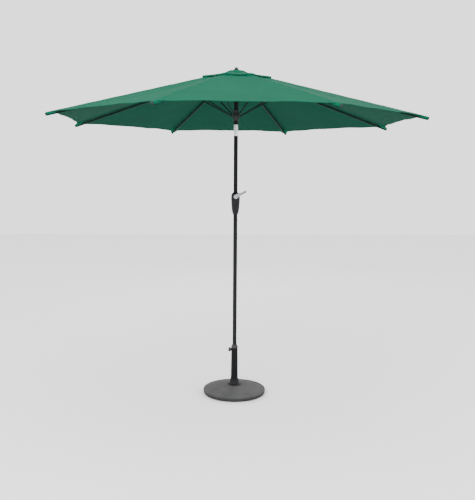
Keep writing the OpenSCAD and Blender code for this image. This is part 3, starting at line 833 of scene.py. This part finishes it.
@dataclass
class CrankHousing:
    """The two moulded shells round the pole that hold the crank."""

    rows: int = 64
    turns: int = 32
    wall: float = 0.0025
    groove: float = 0.0006
    made: list[str] = field(default_factory=list)

    def half_width(self, share: float) -> float:
        """Half the housing's width.

        Args:
            share: Height in the housing, 0 at the foot and 1 at the top.

        Returns:
            The half width in metres.
        """
        low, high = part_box("housing_front")
        widest, tall = high.x, high.z - low.z
        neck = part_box("lower_pole")[1].x + 0.0016
        waist = widest - 0.0038
        up = share * tall
        if up < 0.060:
            return neck + (waist - neck) * (1 - (1 - up / 0.060) ** 1.9)
        if up < tall - 0.050:
            return waist + (widest - waist) * (up - 0.060) / (tall - 0.110)
        t = (up - tall + 0.050) / 0.050
        return neck + (widest - neck) * max(0.0, 1 - t**2.6) ** 0.5

    def depth(self, share: float, reach: float) -> float:
        """How far the shell stands from the pole's axis to the front or the back.

        Args:
            share: Height in the housing, 0 at the foot and 1 at the top.
            reach: The deepest value.

        Returns:
            The depth in metres.
        """
        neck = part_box("lower_pole")[1].x + 0.0016
        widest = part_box("housing_front")[1].x
        fullness = (self.half_width(share) - neck) / (widest - neck)
        return neck + (reach - neck) * max(0.0, fullness) ** 0.7

    def shell(self, name: str, side: int, reach: float, node: str) -> None:
        """Makes one half shell with an inner skin and a closed rim.

        Args:
            name: The piece's name.
            side: -1 for the front, 1 for the back.
            reach: How deep the shell is.
            node: The CAD node that it stands for.
        """
        low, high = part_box("housing_front")
        piece = Piece(name)
        outer, inner = [], []
        for i in range(self.rows + 1):
            share = i / self.rows
            z = low.z + (high.z - low.z) * share
            w, d = self.half_width(share), self.depth(share, reach)
            ring_out, ring_in = [], []
            for j in range(self.turns + 1):
                turn = math.pi * j / self.turns
                c, s = math.cos(turn), math.sin(turn)
                x = math.copysign(abs(c) ** 0.8, c)
                y = abs(s) ** 0.8
                rim = self.groove if j in (0, self.turns) else 0.0
                ring_out.append(((w - rim) * x, side * (d * y + 0.0002), z))
                ring_in.append(((w - self.wall * 0.5) * x, side * ((d - self.wall * 0.5) * y + 0.0002), z))
            outer.append(ring_out)
            inner.append(ring_in)
        a, b = piece.grid(outer), piece.grid(inner)
        loop_a = a[0] + [row[-1] for row in a[1:-1]] + a[-1][::-1] + [row[0] for row in a[-2:0:-1]]
        loop_b = b[0] + [row[-1] for row in b[1:-1]] + b[-1][::-1] + [row[0] for row in b[-2:0:-1]]
        for i, (p, q) in enumerate(zip(loop_a, loop_b)):
            k = (i + 1) % len(loop_a)
            piece.faces.append((p, loop_a[k], loop_b[k], q))
        made = piece.build(Finish.HOUSING, "mast", "housing_plastic", [node], sharp=50)
        tidy_normals(made)
        self.made.append(name)

    def build(self) -> None:
        """Makes both shells and the crank's round boss on the front."""
        front = -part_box("housing_front")[0].y
        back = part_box("housing_back")[1].y
        self.shell("front_shell", -1, front, "housing_front")
        self.shell("back_shell", 1, back, "housing_back")
        self.boss(front)

    def boss(self, front: float) -> None:
        """Makes the raised ring round the crank's shaft.

        Args:
            front: How far the front shell reaches.
        """
        low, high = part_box("crank_bush")
        height = (low.z + high.z) / 2
        bush = (high.x - low.x) / 2
        ring = [(bush + 0.0002, -0.004), (bush + 0.0070, -0.004), (bush + 0.0066, 0.0004)]
        ring += [(bush + 0.0052, 0.0016), (bush + 0.0010, 0.0016), (bush + 0.0002, 0.0008)]
        piece = Piece("shaft_boss")
        turns = [math.tau * i / 72 for i in range(72)]
        rows = [
            [(r * math.cos(t), -front - z, height + r * math.sin(t)) for t in turns]
            for r, z in [*ring, ring[0]]
        ]
        piece.grid(rows, closed=True)
        tidy_normals(piece.build(Finish.HOUSING, "mast", "housing_plastic"))
        self.made.append("shaft_boss")


def tidy_normals(made: bpy.types.Object) -> None:
    """Turns every face of a closed mesh outward, and joins points that lie together.

    Args:
        made: The object whose mesh is tidied.
    """
    work = bmesh.new()
    work.from_mesh(made.data)
    bmesh.ops.remove_doubles(work, verts=work.verts, dist=1e-6)
    bmesh.ops.recalc_face_normals(work, faces=work.faces)
    work.to_mesh(made.data)
    work.free()
    made.data.update()


@dataclass
class Crank:
    """The crank's curved arm, its round head and eye, and its knob."""

    steps: int = 26
    around: int = 24
    made: list[str] = field(default_factory=list)

    def centre_line(self, t: float, end: Vector) -> Vector:
        """The arm's middle line in the XZ plane.

        Args:
            t: 0 at the shaft, 1 at the knob.
            end: The knob's place, from the shaft.

        Returns:
            The point.
        """
        bend = Vector((end.x * 0.42, 0, end.z * 0.62))
        late = Vector((end.x * 0.66, 0, end.z * 0.40))
        return bend * 3 * t * (1 - t) ** 2 + late * 3 * t * t * (1 - t) + end * t**3

    def build(self) -> None:
        """Makes the arm, a round head on the shaft that runs out into a flat curved bar."""
        arm_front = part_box("crank_arm")[0].y
        shaft_low, shaft_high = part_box("crank_shaft")
        knob_low, knob_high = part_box("crank_knob")
        height = (shaft_low.z + shaft_high.z) / 2
        front, thick = arm_front, 0.007
        end = Vector(((knob_low.x + knob_high.x) / 2, 0, (knob_low.z + knob_high.z) / 2 - height))
        piece = Piece("curved_crank_arm")
        rings = []
        for i in range(self.steps + 1):
            t = i / self.steps
            here = self.centre_line(t, end)
            ahead = self.centre_line(min(1.0, t + 0.01), end) - self.centre_line(max(0.0, t - 0.01), end)
            across = Vector((-ahead.z, 0, ahead.x)).normalized()
            half = 0.0105 * (1 - t) ** 1.6 + 0.0058 + 0.0010 * t**6
            depth = thick / 2 * (1 - 0.25 * t)
            bow = -0.004 * math.sin(math.pi * t)
            ring = []
            for j in range(self.around):
                turn = math.tau * j / self.around
                c, s = math.cos(turn), math.sin(turn)
                out = across * half * math.copysign(abs(c) ** 0.6, c)
                back = math.copysign(abs(s) ** 0.7, s) * depth
                ring.append((here.x + out.x, front + thick / 2 + back + bow, height + here.z + out.z))
            rings.append(ring)
        index = piece.grid(rings, closed=True)
        piece.cap(index[0])
        piece.cap(index[-1], flip=True)
        arm = piece.build(Finish.ARM_METAL, "crank", "arm_aluminium", ["crank_arm"], sharp=60)
        tidy_normals(arm)
        self.made.append("curved_crank_arm")
        self.discs(height, front, thick, end)
        self.knob(knob_low, knob_high)

    def discs(self, height: float, front: float, thick: float, end: Vector) -> None:
        """Makes the round head on the shaft and the eye at the knob.

        Args:
            height: The shaft's height.
            front: The arm's front face.
            thick: The arm's thickness.
            end: The knob's place, from the shaft.
        """
        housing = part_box("housing_front")[0].y
        back = housing - 0.001 - (front + thick)
        head = [(0.0045, 0.0), (0.0150, 0.0), (0.0160, 0.002), (0.0160, thick - 0.001), (0.0150, thick)]
        head += [(0.0105, thick + 0.001), (0.0092, thick + back), (0.0045, thick + back)]
        disc = lathe("crank_head", rounded(head, 0.001, 3), lambda x, y, z: (x, front + z, height + y), 72)
        tidy_normals(disc.build(Finish.ARM_METAL, "crank", "arm_aluminium"))
        eye = [(0.003, 0.0), (0.0066, 0.0), (0.0074, 0.001), (0.0074, thick - 0.001)]
        eye += [(0.0066, thick), (0.003, thick)]
        ring = lathe(
            "knob_eye",
            rounded(eye, 0.0008, 3),
            lambda x, y, z: (end.x + x, front + z, height + end.z + y),
            48,
        )
        tidy_normals(ring.build(Finish.ARM_METAL, "crank", "arm_aluminium"))
        self.made += ["crank_head", "knob_eye"]

    def knob(self, low: Vector, high: Vector) -> None:
        """Makes the turned knob that spins on its pin.

        Args:
            low: The knob's lowest corner.
            high: The knob's highest corner.
        """
        x, z = (low.x + high.x) / 2, (low.z + high.z) / 2
        radius, length = (high.x - low.x) / 2, high.y - low.y
        profile = [(0.0031, 0.0), (radius * 0.72, 0.0), (radius * 0.86, length * 0.05)]
        profile += [(radius * 0.80, length * 0.22)]
        profile += [(radius * 0.88, length * 0.5), (radius, length * 0.76), (radius * 0.94, length * 0.93)]
        profile += [(radius * 0.6, length), (0.0031, length)]
        grip = lathe(
            "turned_crank_knob",
            rounded(profile, 0.004, 5),
            lambda a, b, c: (x + a, high.y - c, z + b),
            64,
        )
        tidy_normals(grip.build(Finish.BLACK_PLASTIC, "crank_grip", "black_plastic", ["crank_knob"]))
        self.made.append("turned_crank_knob")


@dataclass
class TopFinial:
    """The small domed cap on top of the vent cap."""

    made: list[str] = field(default_factory=list)

    def build(self) -> None:
        """Makes the finial with a step and a soft dome."""
        low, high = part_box("finial")
        radius, top = high.x, high.z
        foot = top - 0.017
        profile = [(0.004, foot), (radius, foot), (radius, foot + 0.0028), (radius * 0.86, foot + 0.0040)]
        profile += [(radius * 0.80, foot + 0.0085), (radius * 0.66, foot + 0.0130)]
        profile += [(radius * 0.40, top - 0.0015), (0.0008, top)]
        cap = lathe("domed_finial", rounded(profile, 0.002, 4), segments=72)
        stud = [(0.0001, low.z), (0.0036, low.z), (0.00395, low.z + 0.001)]
        stud += [(0.00395, foot + 0.001), (0.0001, foot + 0.001)]
        screw = lathe("finial_stud", stud, segments=24)
        tidy_normals(cap.build(Finish.FINIAL, "upper", "finial_plastic", ["finial"]))
        tidy_normals(screw.build(Finish.ZINC, "upper", "zinc_steel"))
        self.made += ["domed_finial", "finial_stud"]


@dataclass
class Canopy:
    """The eight-panel canopy: one sewn cell over each rib, with hem, pocket, tip and vent cap."""

    down: int = 34
    across: int = 20
    slack: float = 0.011
    hem_width: float = 0.014
    hem_sag: float = 0.026
    corner_cut: float = 0.007
    cloth: float = 0.0007
    keep: float = 0.10
    keep_pocket: float = 0.36
    made: list[str] = field(default_factory=list)

    def __post_init__(self) -> None:
        """Reads the canopy's sizes from the frame."""
        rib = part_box("rib_0")
        far = math.hypot(rib[1].x, rib[1].y)
        self.reach = far - 0.006
        pivot = next(j for j in frame["joints"] if j["name"] == "canopy_fold")["pos_m"]
        self.pivot_r = math.hypot(pivot[0], pivot[1])
        self.hub_h = pivot[2]
        hub_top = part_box("hub")[1].z
        self.cap_top = hub_top + 0.0085
        low_tip = rib[0].z + 0.013
        self.slope = math.atan2(self.hub_h - low_tip, far - self.pivot_r)
        self.ridge_top = self.hub_h + self.pivot_r * math.tan(self.slope) + 0.0090 / math.cos(self.slope)
        self.hem_r = self.reach - 0.012
        self.vent_r = 0.150
        self.cap_r = 0.265
        self.cap_rise = 0.014

    def ridge_height(self, r: float) -> float:
        """Height of the cloth over a rib at radius r."""
        return self.ridge_top - r * math.tan(self.slope)

    def rim(self, side: float) -> float:
        """Where the hem lies.

        Args:
            side: 0 over the rib, 1 at the middle between two ribs.

        Returns:
            The distance from the pole along the panel's middle direction.
        """
        straight = self.hem_r * math.cos(HALF_STEP)
        corner = self.corner_cut * (1 - math.exp(-side / 0.07))
        return straight - corner - self.hem_sag * (1 - (1 - side) ** 2.2)

    def spread(self) -> list[float]:
        """Shares across half a panel, close together at the seam and even further out."""
        near = [0.0, 0.010, 0.013, 0.020]
        return near + [0.020 + 0.98 * (i / self.across) for i in range(1, self.across + 1)]

    def cloth_point(self, rib: int, down: float, share: float, side: int) -> Vector:
        """A point of the main cloth.

        Args:
            rib: The rib's number.
            down: 0 at the vent opening, 1 at the hem.
            share: 0 over the rib, 1 at the middle between ribs.
            side: -1 or 1, the side of the rib.

        Returns:
            The point.
        """
        inner = self.vent_r * math.cos(HALF_STEP)
        outer = self.rim(share)
        u = inner + (outer - inner) * down
        v = u * math.tan(HALF_STEP) * (1 - share)
        return self.place(rib, u, v, side, self.sag(u, share, down, rib, side), self.ridge_height)

    def sag(self, u: float, share: float, down: float, rib: int, side: int) -> float:
        """How far the cloth hangs below the flat panel.

        Args:
            u: Distance along the panel's middle direction.
            share: 0 over the rib, 1 at the middle.
            down: 0 at the vent, 1 at the hem.
            rib: The rib's number.
            side: The side of the rib.

        Returns:
            The drop in metres.
        """
        dish = math.sin(math.pi * min(1.0, 0.12 + 0.88 * down)) * 0.8 + 0.2 * down
        smooth = share * share * (3 - 2 * share)
        drop = self.slack * dish * smooth
        pull = math.exp(-((1 - down) / 0.22)) * share * (1 - share) * 4
        fold = math.sin(share * 9.5 + down * 3.0 + rib * 1.7 + side) * 0.0022
        seam_fold = math.exp(-share / 0.10) * math.sin(down * 41 + rib * 2.3 + side) * 0.0007
        seed = Vector((u * 5.0, share * 2.4 * side, rib * 3.1))
        drift = noise.noise(seed) * 0.0026 * smooth * (1 - smooth) * 4
        raised = 0.0009 if share <= 0.010 else 0.0
        edge = self.edge_calm(share)
        return drop + (pull * fold + seam_fold + drift) * edge - raised

    def edge_calm(self, share: float) -> float:
        """Fades folds out at the middle line, so that neighbouring cells meet without a step."""
        return (1 - max(0.0, (share - 0.6) / 0.4) ** 2) ** 2

    def place(
        self,
        rib: int,
        u: float,
        v: float,
        side: int,
        drop: float,
        height: Callable[[float], float],
    ) -> Vector:
        """Turns a panel's own lengths into a point.

        Args:
            rib: The rib's number.
            u: Distance from the pole along the panel's middle direction.
            v: Distance from that middle line towards the rib.
            side: -1 or 1, the side of the rib.
            drop: How far the point lies below the flat panel.
            height: Gives the cloth's height over the rib from a radius.

        Returns:
            The point.
        """
        middle = RIB_STEP * (rib + 0.5) + side * HALF_STEP
        x = u * math.cos(middle) + side * v * math.sin(middle)
        y = u * math.sin(middle) - side * v * math.cos(middle)
        return Vector((x, y, height(u / math.cos(HALF_STEP)) - drop))

    def sheet(self, rib: int) -> bpy.types.Object:
        """Makes the main cloth over one rib.

        Args:
            rib: The rib's number.

        Returns:
            The cloth.
        """
        piece = Piece(f"panel_cloth_{rib}")
        shares = self.spread()
        columns = [(s, 1) for s in reversed(shares)] + [(s, -1) for s in shares[1:]]
        rows = []
        for i in range(self.down + 1):
            down = i / self.down
            rows.append([self.cloth_point(rib, down, s, side) for s, side in columns])
        piece.grid(rows)
        return piece.build(
            Finish.CLOTH,
            f"rib_{rib}",
            "canopy_cloth",
            [f"canopy_{rib}"],
            sharp=80,
            thickness=self.cloth,
            back=Finish.CLOTH_BACK,
        )

    def hem(self, rib: int) -> bpy.types.Object:
        """Makes the folded hem that runs along the cloth's edge.

        Args:
            rib: The rib's number.

        Returns:
            The hem.
        """
        piece = Piece(f"folded_hem_{rib}")
        shares = self.spread()[3:]
        ring_rows = []
        for side in (-1, 1):
            rows = []
            for s in shares:
                length = self.rim(s) - self.vent_r * math.cos(HALF_STEP)
                inner = 1 - self.hem_width / length
                pucker = 0.00035 * math.sin(s * 150 + rib)
                top_in = self.cloth_point(rib, inner, s, side) + Vector((0, 0, 0.0006 + pucker * 0.5))
                edge = self.cloth_point(rib, 1.0, s, side)
                outward = (edge - self.cloth_point(rib, inner, s, side)).normalized()
                top_out = edge + Vector((0, 0, 0.0010 + pucker)) + outward * 0.0008
                nose = edge + Vector((0, 0, -0.0004)) + outward * 0.0020
                low_out = edge + Vector((0, 0, -0.0018 + pucker)) + outward * 0.0008
                low_in = self.cloth_point(rib, inner, s, side) + Vector((0, 0, -0.0016))
                rows.append([top_in, top_out, nose, low_out, low_in])
            ring_rows.append(rows)
        for rows in ring_rows:
            index = piece.grid(rows, closed=True)
            piece.cap(index[0])
            piece.cap(index[-1], flip=True)
        made = piece.build(Finish.BINDING, f"rib_{rib}", "canopy_cloth", sharp=70)
        tidy_normals(made)
        return made

    def vent_cap(self, rib: int) -> bpy.types.Object:
        """Makes the vent cap's cloth over one rib: it dips between its middle and its corners.

        Args:
            rib: The rib's number.

        Returns:
            The cloth.
        """
        corner = self.ridge_height(self.cap_r) + self.cap_rise
        inner_r, start_h = 0.0095, self.cap_top

        def ridge(r: float) -> float:
            """Height of the cap's ridge: a low crown round the finial, then a shallow hollow.

            Args:
                r: Distance from the pole's middle.

            Returns:
                The height.
            """
            t = max(0.0, (r - inner_r) / (self.cap_r - inner_r))
            line = start_h + (corner - start_h) * t
            crown = 0.009 * math.exp(-(((r - 0.050) / 0.030) ** 2))
            return line + crown - 0.0085 * math.sin(math.pi * t**0.8) * (1 - t * 0.4)

        piece = Piece(f"vent_cap_cloth_{rib}")
        shares = self.spread()
        columns = [(s, 1) for s in reversed(shares)] + [(s, -1) for s in shares[1:]]
        rows = []
        for i in range(19):
            down = i / 18
            row = []
            for s, side in columns:
                inner = inner_r * math.cos(HALF_STEP)
                outer = self.cap_r * math.cos(HALF_STEP) - 0.010 * (1 - (1 - s) ** 2)
                u = inner + (outer - inner) * down
                v = u * math.tan(HALF_STEP) * (1 - s)
                smooth = s * s * (3 - 2 * s)
                hang = (self.cap_rise - 0.004) * smooth * down**1.5
                drop = hang + 0.002 * smooth * math.sin(math.pi * down) - (0.0008 if s <= 0.010 else 0.0)
                row.append(self.place(rib, u, v, side, drop, ridge))
            rows.append(row)
        for share_down in (0.5, 1.0):
            row = []
            for (s, _), edge in zip(columns, rows[18]):
                smooth = s * s * (3 - 2 * s)
                depth = (self.cap_rise - 0.004) * (1 - smooth) + 0.0015
                row.append(edge - Vector((0, 0, depth * share_down)))
            rows.append(row)
        piece.grid(rows)
        return piece.build(
            Finish.CLOTH,
            f"rib_{rib}",
            "canopy_cloth",
            sharp=80,
            thickness=self.cloth,
            back=Finish.CLOTH_BACK,
        )

    def along(self, rib: int, r: float, out: float, lift: float) -> Vector:
        """A point beside a rib's tip.

        Args:
            rib: The rib's number.
            r: Radius along the rib.
            out: Sideways distance from the rib's middle.
            lift: Height over the cloth's ridge line.

        Returns:
            The point.
        """
        turn = RIB_STEP * (rib + 0.5)
        x = r * math.cos(turn) - out * math.sin(turn)
        y = r * math.sin(turn) + out * math.cos(turn)
        fall = abs(out) * math.tan(self.slope) * math.tan(HALF_STEP)
        return Vector((x, y, self.ridge_height(r) + lift - fall))

    def pocket_piece(self, rib: int) -> bpy.types.Object:
        """Makes the sewn pocket that slips over a rib's tip.

        Args:
            rib: The rib's number.

        Returns:
            The pocket.
        """
        piece = Piece(f"tip_pocket_{rib}")
        start, end = self.reach - 0.085, self.reach - 0.001
        rings = []
        for i in range(17):
            t = i / 16
            r = start + (end - start) * t
            half = 0.027 * (1 - t**2.0) + 0.0090
            depth = 0.0010 + 0.0155 * min(1.0, t * 2.4)
            swell = 0.0003 * math.sin(t * 34)
            ring = []
            for j in range(28):
                turn = math.tau * j / 28
                c, s = math.cos(turn), math.sin(turn)
                out = half * math.copysign(abs(c) ** 0.75, c)
                up = (0.0012 + swell) * max(0.0, s) ** 0.6 if s > 0 else -depth * abs(s) ** 0.6
                ring.append(self.along(rib, r, out, up))
            rings.append(ring)
        index = piece.grid(rings, closed=True)
        piece.cap(index[0])
        piece.cap(index[-1], flip=True)
        made = piece.build(Finish.CLOTH, f"rib_{rib}", "canopy_cloth", sharp=60)
        tidy_normals(made)
        return made

    def tip(self, rib: int) -> bpy.types.Object:
        """Makes the grey plastic end cap on a rib's tip.

        Args:
            rib: The rib's number.

        Returns:
            The cap.
        """
        turn = RIB_STEP * (rib + 0.5)
        start = self.reach - 0.006
        length = 0.015
        middle = self.ridge_height(start) - 0.0090 / math.cos(self.slope)
        cs, sn = math.cos(self.slope), math.sin(self.slope)

        def place(x: float, y: float, z: float) -> Point:
            """Lays the cap's axis along the rib.

            Args:
                x: Upwards from the cap's axis.
                y: Sideways from the cap's axis.
                z: Along the cap's axis, outwards.

            Returns:
                The point in the frame.
            """
            out, up = z * cs + x * sn, -z * sn + x * cs
            r = start + out
            across = r * math.cos(turn) - y * math.sin(turn)
            along = r * math.sin(turn) + y * math.cos(turn)
            return (across, along, middle + up)

        profile = [(0.0058, 0.0), (0.0080, 0.0), (0.0084, 0.002), (0.0082, length * 0.6)]
        profile += [(0.0062, length * 0.9), (0.0008, length)]
        made = lathe(f"rib_end_cap_{rib}", rounded(profile, 0.002, 4), place, 40)
        cap = made.build(Finish.TIP, f"rib_{rib}", "finial_plastic")
        tidy_normals(cap)
        return cap

    def fold(self, piece: bpy.types.Object, rib: int, keep: float) -> None:
        """Gives a cloth its own copy of its mesh.

        Args:
            piece: The cloth.
            rib: Not used.
            keep: Not used.
        """
        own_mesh(piece)

    def build(self) -> None:
        """Makes all eight cells and gives each cloth its own mesh."""
        for rib in range(RIB_COUNT):
            cloth, hem, cap = self.sheet(rib), self.hem(rib), self.vent_cap(rib)
            pocket, tip = self.pocket_piece(rib), self.tip(rib)
            for soft in (cloth, hem, cap):
                self.fold(soft, rib, self.keep)
            self.fold(pocket, rib, self.keep_pocket)
            self.made += [cloth.name, hem.name, cap.name, pocket.name, tip.name]


@dataclass
class LiftCord:
    """The lift cord's run outside the pole, from the pulley down to the runner."""

    around: int = 12
    steps: int = 80
    made: list[str] = field(default_factory=list)

    def build(self) -> None:
        """Makes a twisted cord."""
        low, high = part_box("cord_run")
        x, radius = (low.x + high.x) / 2, (high.x - low.x) / 2
        piece = Piece("lift_cord_run")
        rings = []
        for i in range(self.steps + 1):
            t = i / self.steps
            z = low.z + (high.z - low.z) * t
            ring = []
            for j in range(self.around):
                turn = math.tau * j / self.around
                r = radius * (0.9 + 0.1 * math.cos(3 * turn - t * 90))
                ring.append((x + r * math.cos(turn), r * math.sin(turn), z))
            rings.append(ring)
        index = piece.grid(rings, closed=True)
        piece.cap(index[0], flip=True)
        piece.cap(index[-1])
        made = piece.build(Finish.CORD, "upper", "lift_cord", ["cord_run"])
        tidy_normals(made)
        made.parent = None
        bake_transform(made)
        self.made.append("lift_cord_run")


@dataclass
class Studio:
    """The pale floor, the soft lights and the camera."""

    lens: float = 48.9
    away: float = 5.01
    eye_height: float = 1.635
    pitch: float = 6.22
    turn: float = 3.06
    shift_right: float = 0.0175
    roll: float = 0.40
    made: list[str] = field(default_factory=list)

    def floor(self) -> None:
        """Makes the wide plain floor."""
        piece = Piece("studio_floor")
        rows = []
        for i in range(21):
            t = i / 20
            y = -14 + 28 * t
            rows.append([(x, y, 0.0) for x in (-16.0, -8.0, 0.0, 8.0, 16.0)])
        piece.grid(rows)
        mesh = bpy.data.meshes.new("studio_floor")
        mesh.from_pydata(piece.points, [], piece.faces)
        made = bpy.data.objects.new("studio_floor", mesh)
        bpy.context.scene.collection.objects.link(made)
        s = Shader("studio_paper")
        patch = s.noise(1.2, 2.0)
        mesh.materials.append(
            s.dress(Base_Color=s.mix(patch, (0.86, 0.86, 0.86), (0.88, 0.88, 0.88)), Roughness=0.9)
        )

    def light(self, name: str, place: Point, aim: Point, size: float, watts: float) -> None:
        """Hangs one soft square light.

        Args:
            name: The light's name.
            place: Where it hangs.
            aim: What it faces.
            size: Its side in metres.
            watts: Its power.
        """
        lamp = bpy.data.lights.new(name, "AREA")
        lamp.size = size
        lamp.energy = watts
        made = bpy.data.objects.new(name, lamp)
        made.location = place
        made.rotation_euler = (Vector(aim) - Vector(place)).to_track_quat("-Z", "Y").to_euler()
        bpy.context.scene.collection.objects.link(made)

    def camera(self) -> None:
        """Sets the camera at standing height, a little to the left of the crank."""
        data = bpy.data.cameras.new("camera")
        data.lens = self.lens
        data.sensor_width = 36.0
        made = bpy.data.objects.new("camera", data)
        side = math.radians(self.turn)
        right = Vector((math.cos(side), -math.sin(side), 0))
        back = Vector((-math.sin(side), -math.cos(side), 0))
        made.location = back * self.away + right * self.shift_right + Vector((0, 0, self.eye_height))
        base = Euler((math.radians(90 - self.pitch), 0, -side), "XYZ").to_matrix()
        tilt = Euler((0, 0, math.radians(self.roll)), "XYZ").to_matrix()
        made.rotation_euler = (base @ tilt).to_euler()
        bpy.context.scene.collection.objects.link(made)
        bpy.context.scene.camera = made

    def build(self) -> None:
        """Makes the floor, lights, surroundings and camera."""
        self.floor()
        self.camera()
        self.light("key", (-2.4, -5.2, 4.6), (0, 0, 1.8), 3.5, 420)
        self.light("fill", (4.5, -3.6, 3.0), (0, 0, 1.2), 4.0, 120)
        self.light("rim", (1.0, 5.0, 4.5), (0, 0, 1.4), 4.0, 90)
        world = bpy.data.worlds.new("studio_air")
        bpy.context.scene.world = world
        world.use_nodes = True
        world.node_tree.nodes["Background"].inputs[0].default_value = (1.0, 1.0, 1.0, 1.0)
        world.node_tree.nodes["Background"].inputs[1].default_value = 2.0


def main() -> None:
    """Builds every sub-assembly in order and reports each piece."""
    logging.basicConfig(level=logging.INFO, format="%(message)s")
    Studio().build()
    soften_cad()
    for assembly in (WeightedBase(), ClampKnob(), CrankHousing(), Crank(), TopFinial(), Canopy(), LiftCord()):
        assembly.build()
        for piece in assembly.made:
            log.info("%s: %s", type(assembly).__name__, piece)


if __name__ == "__main__":
    main()
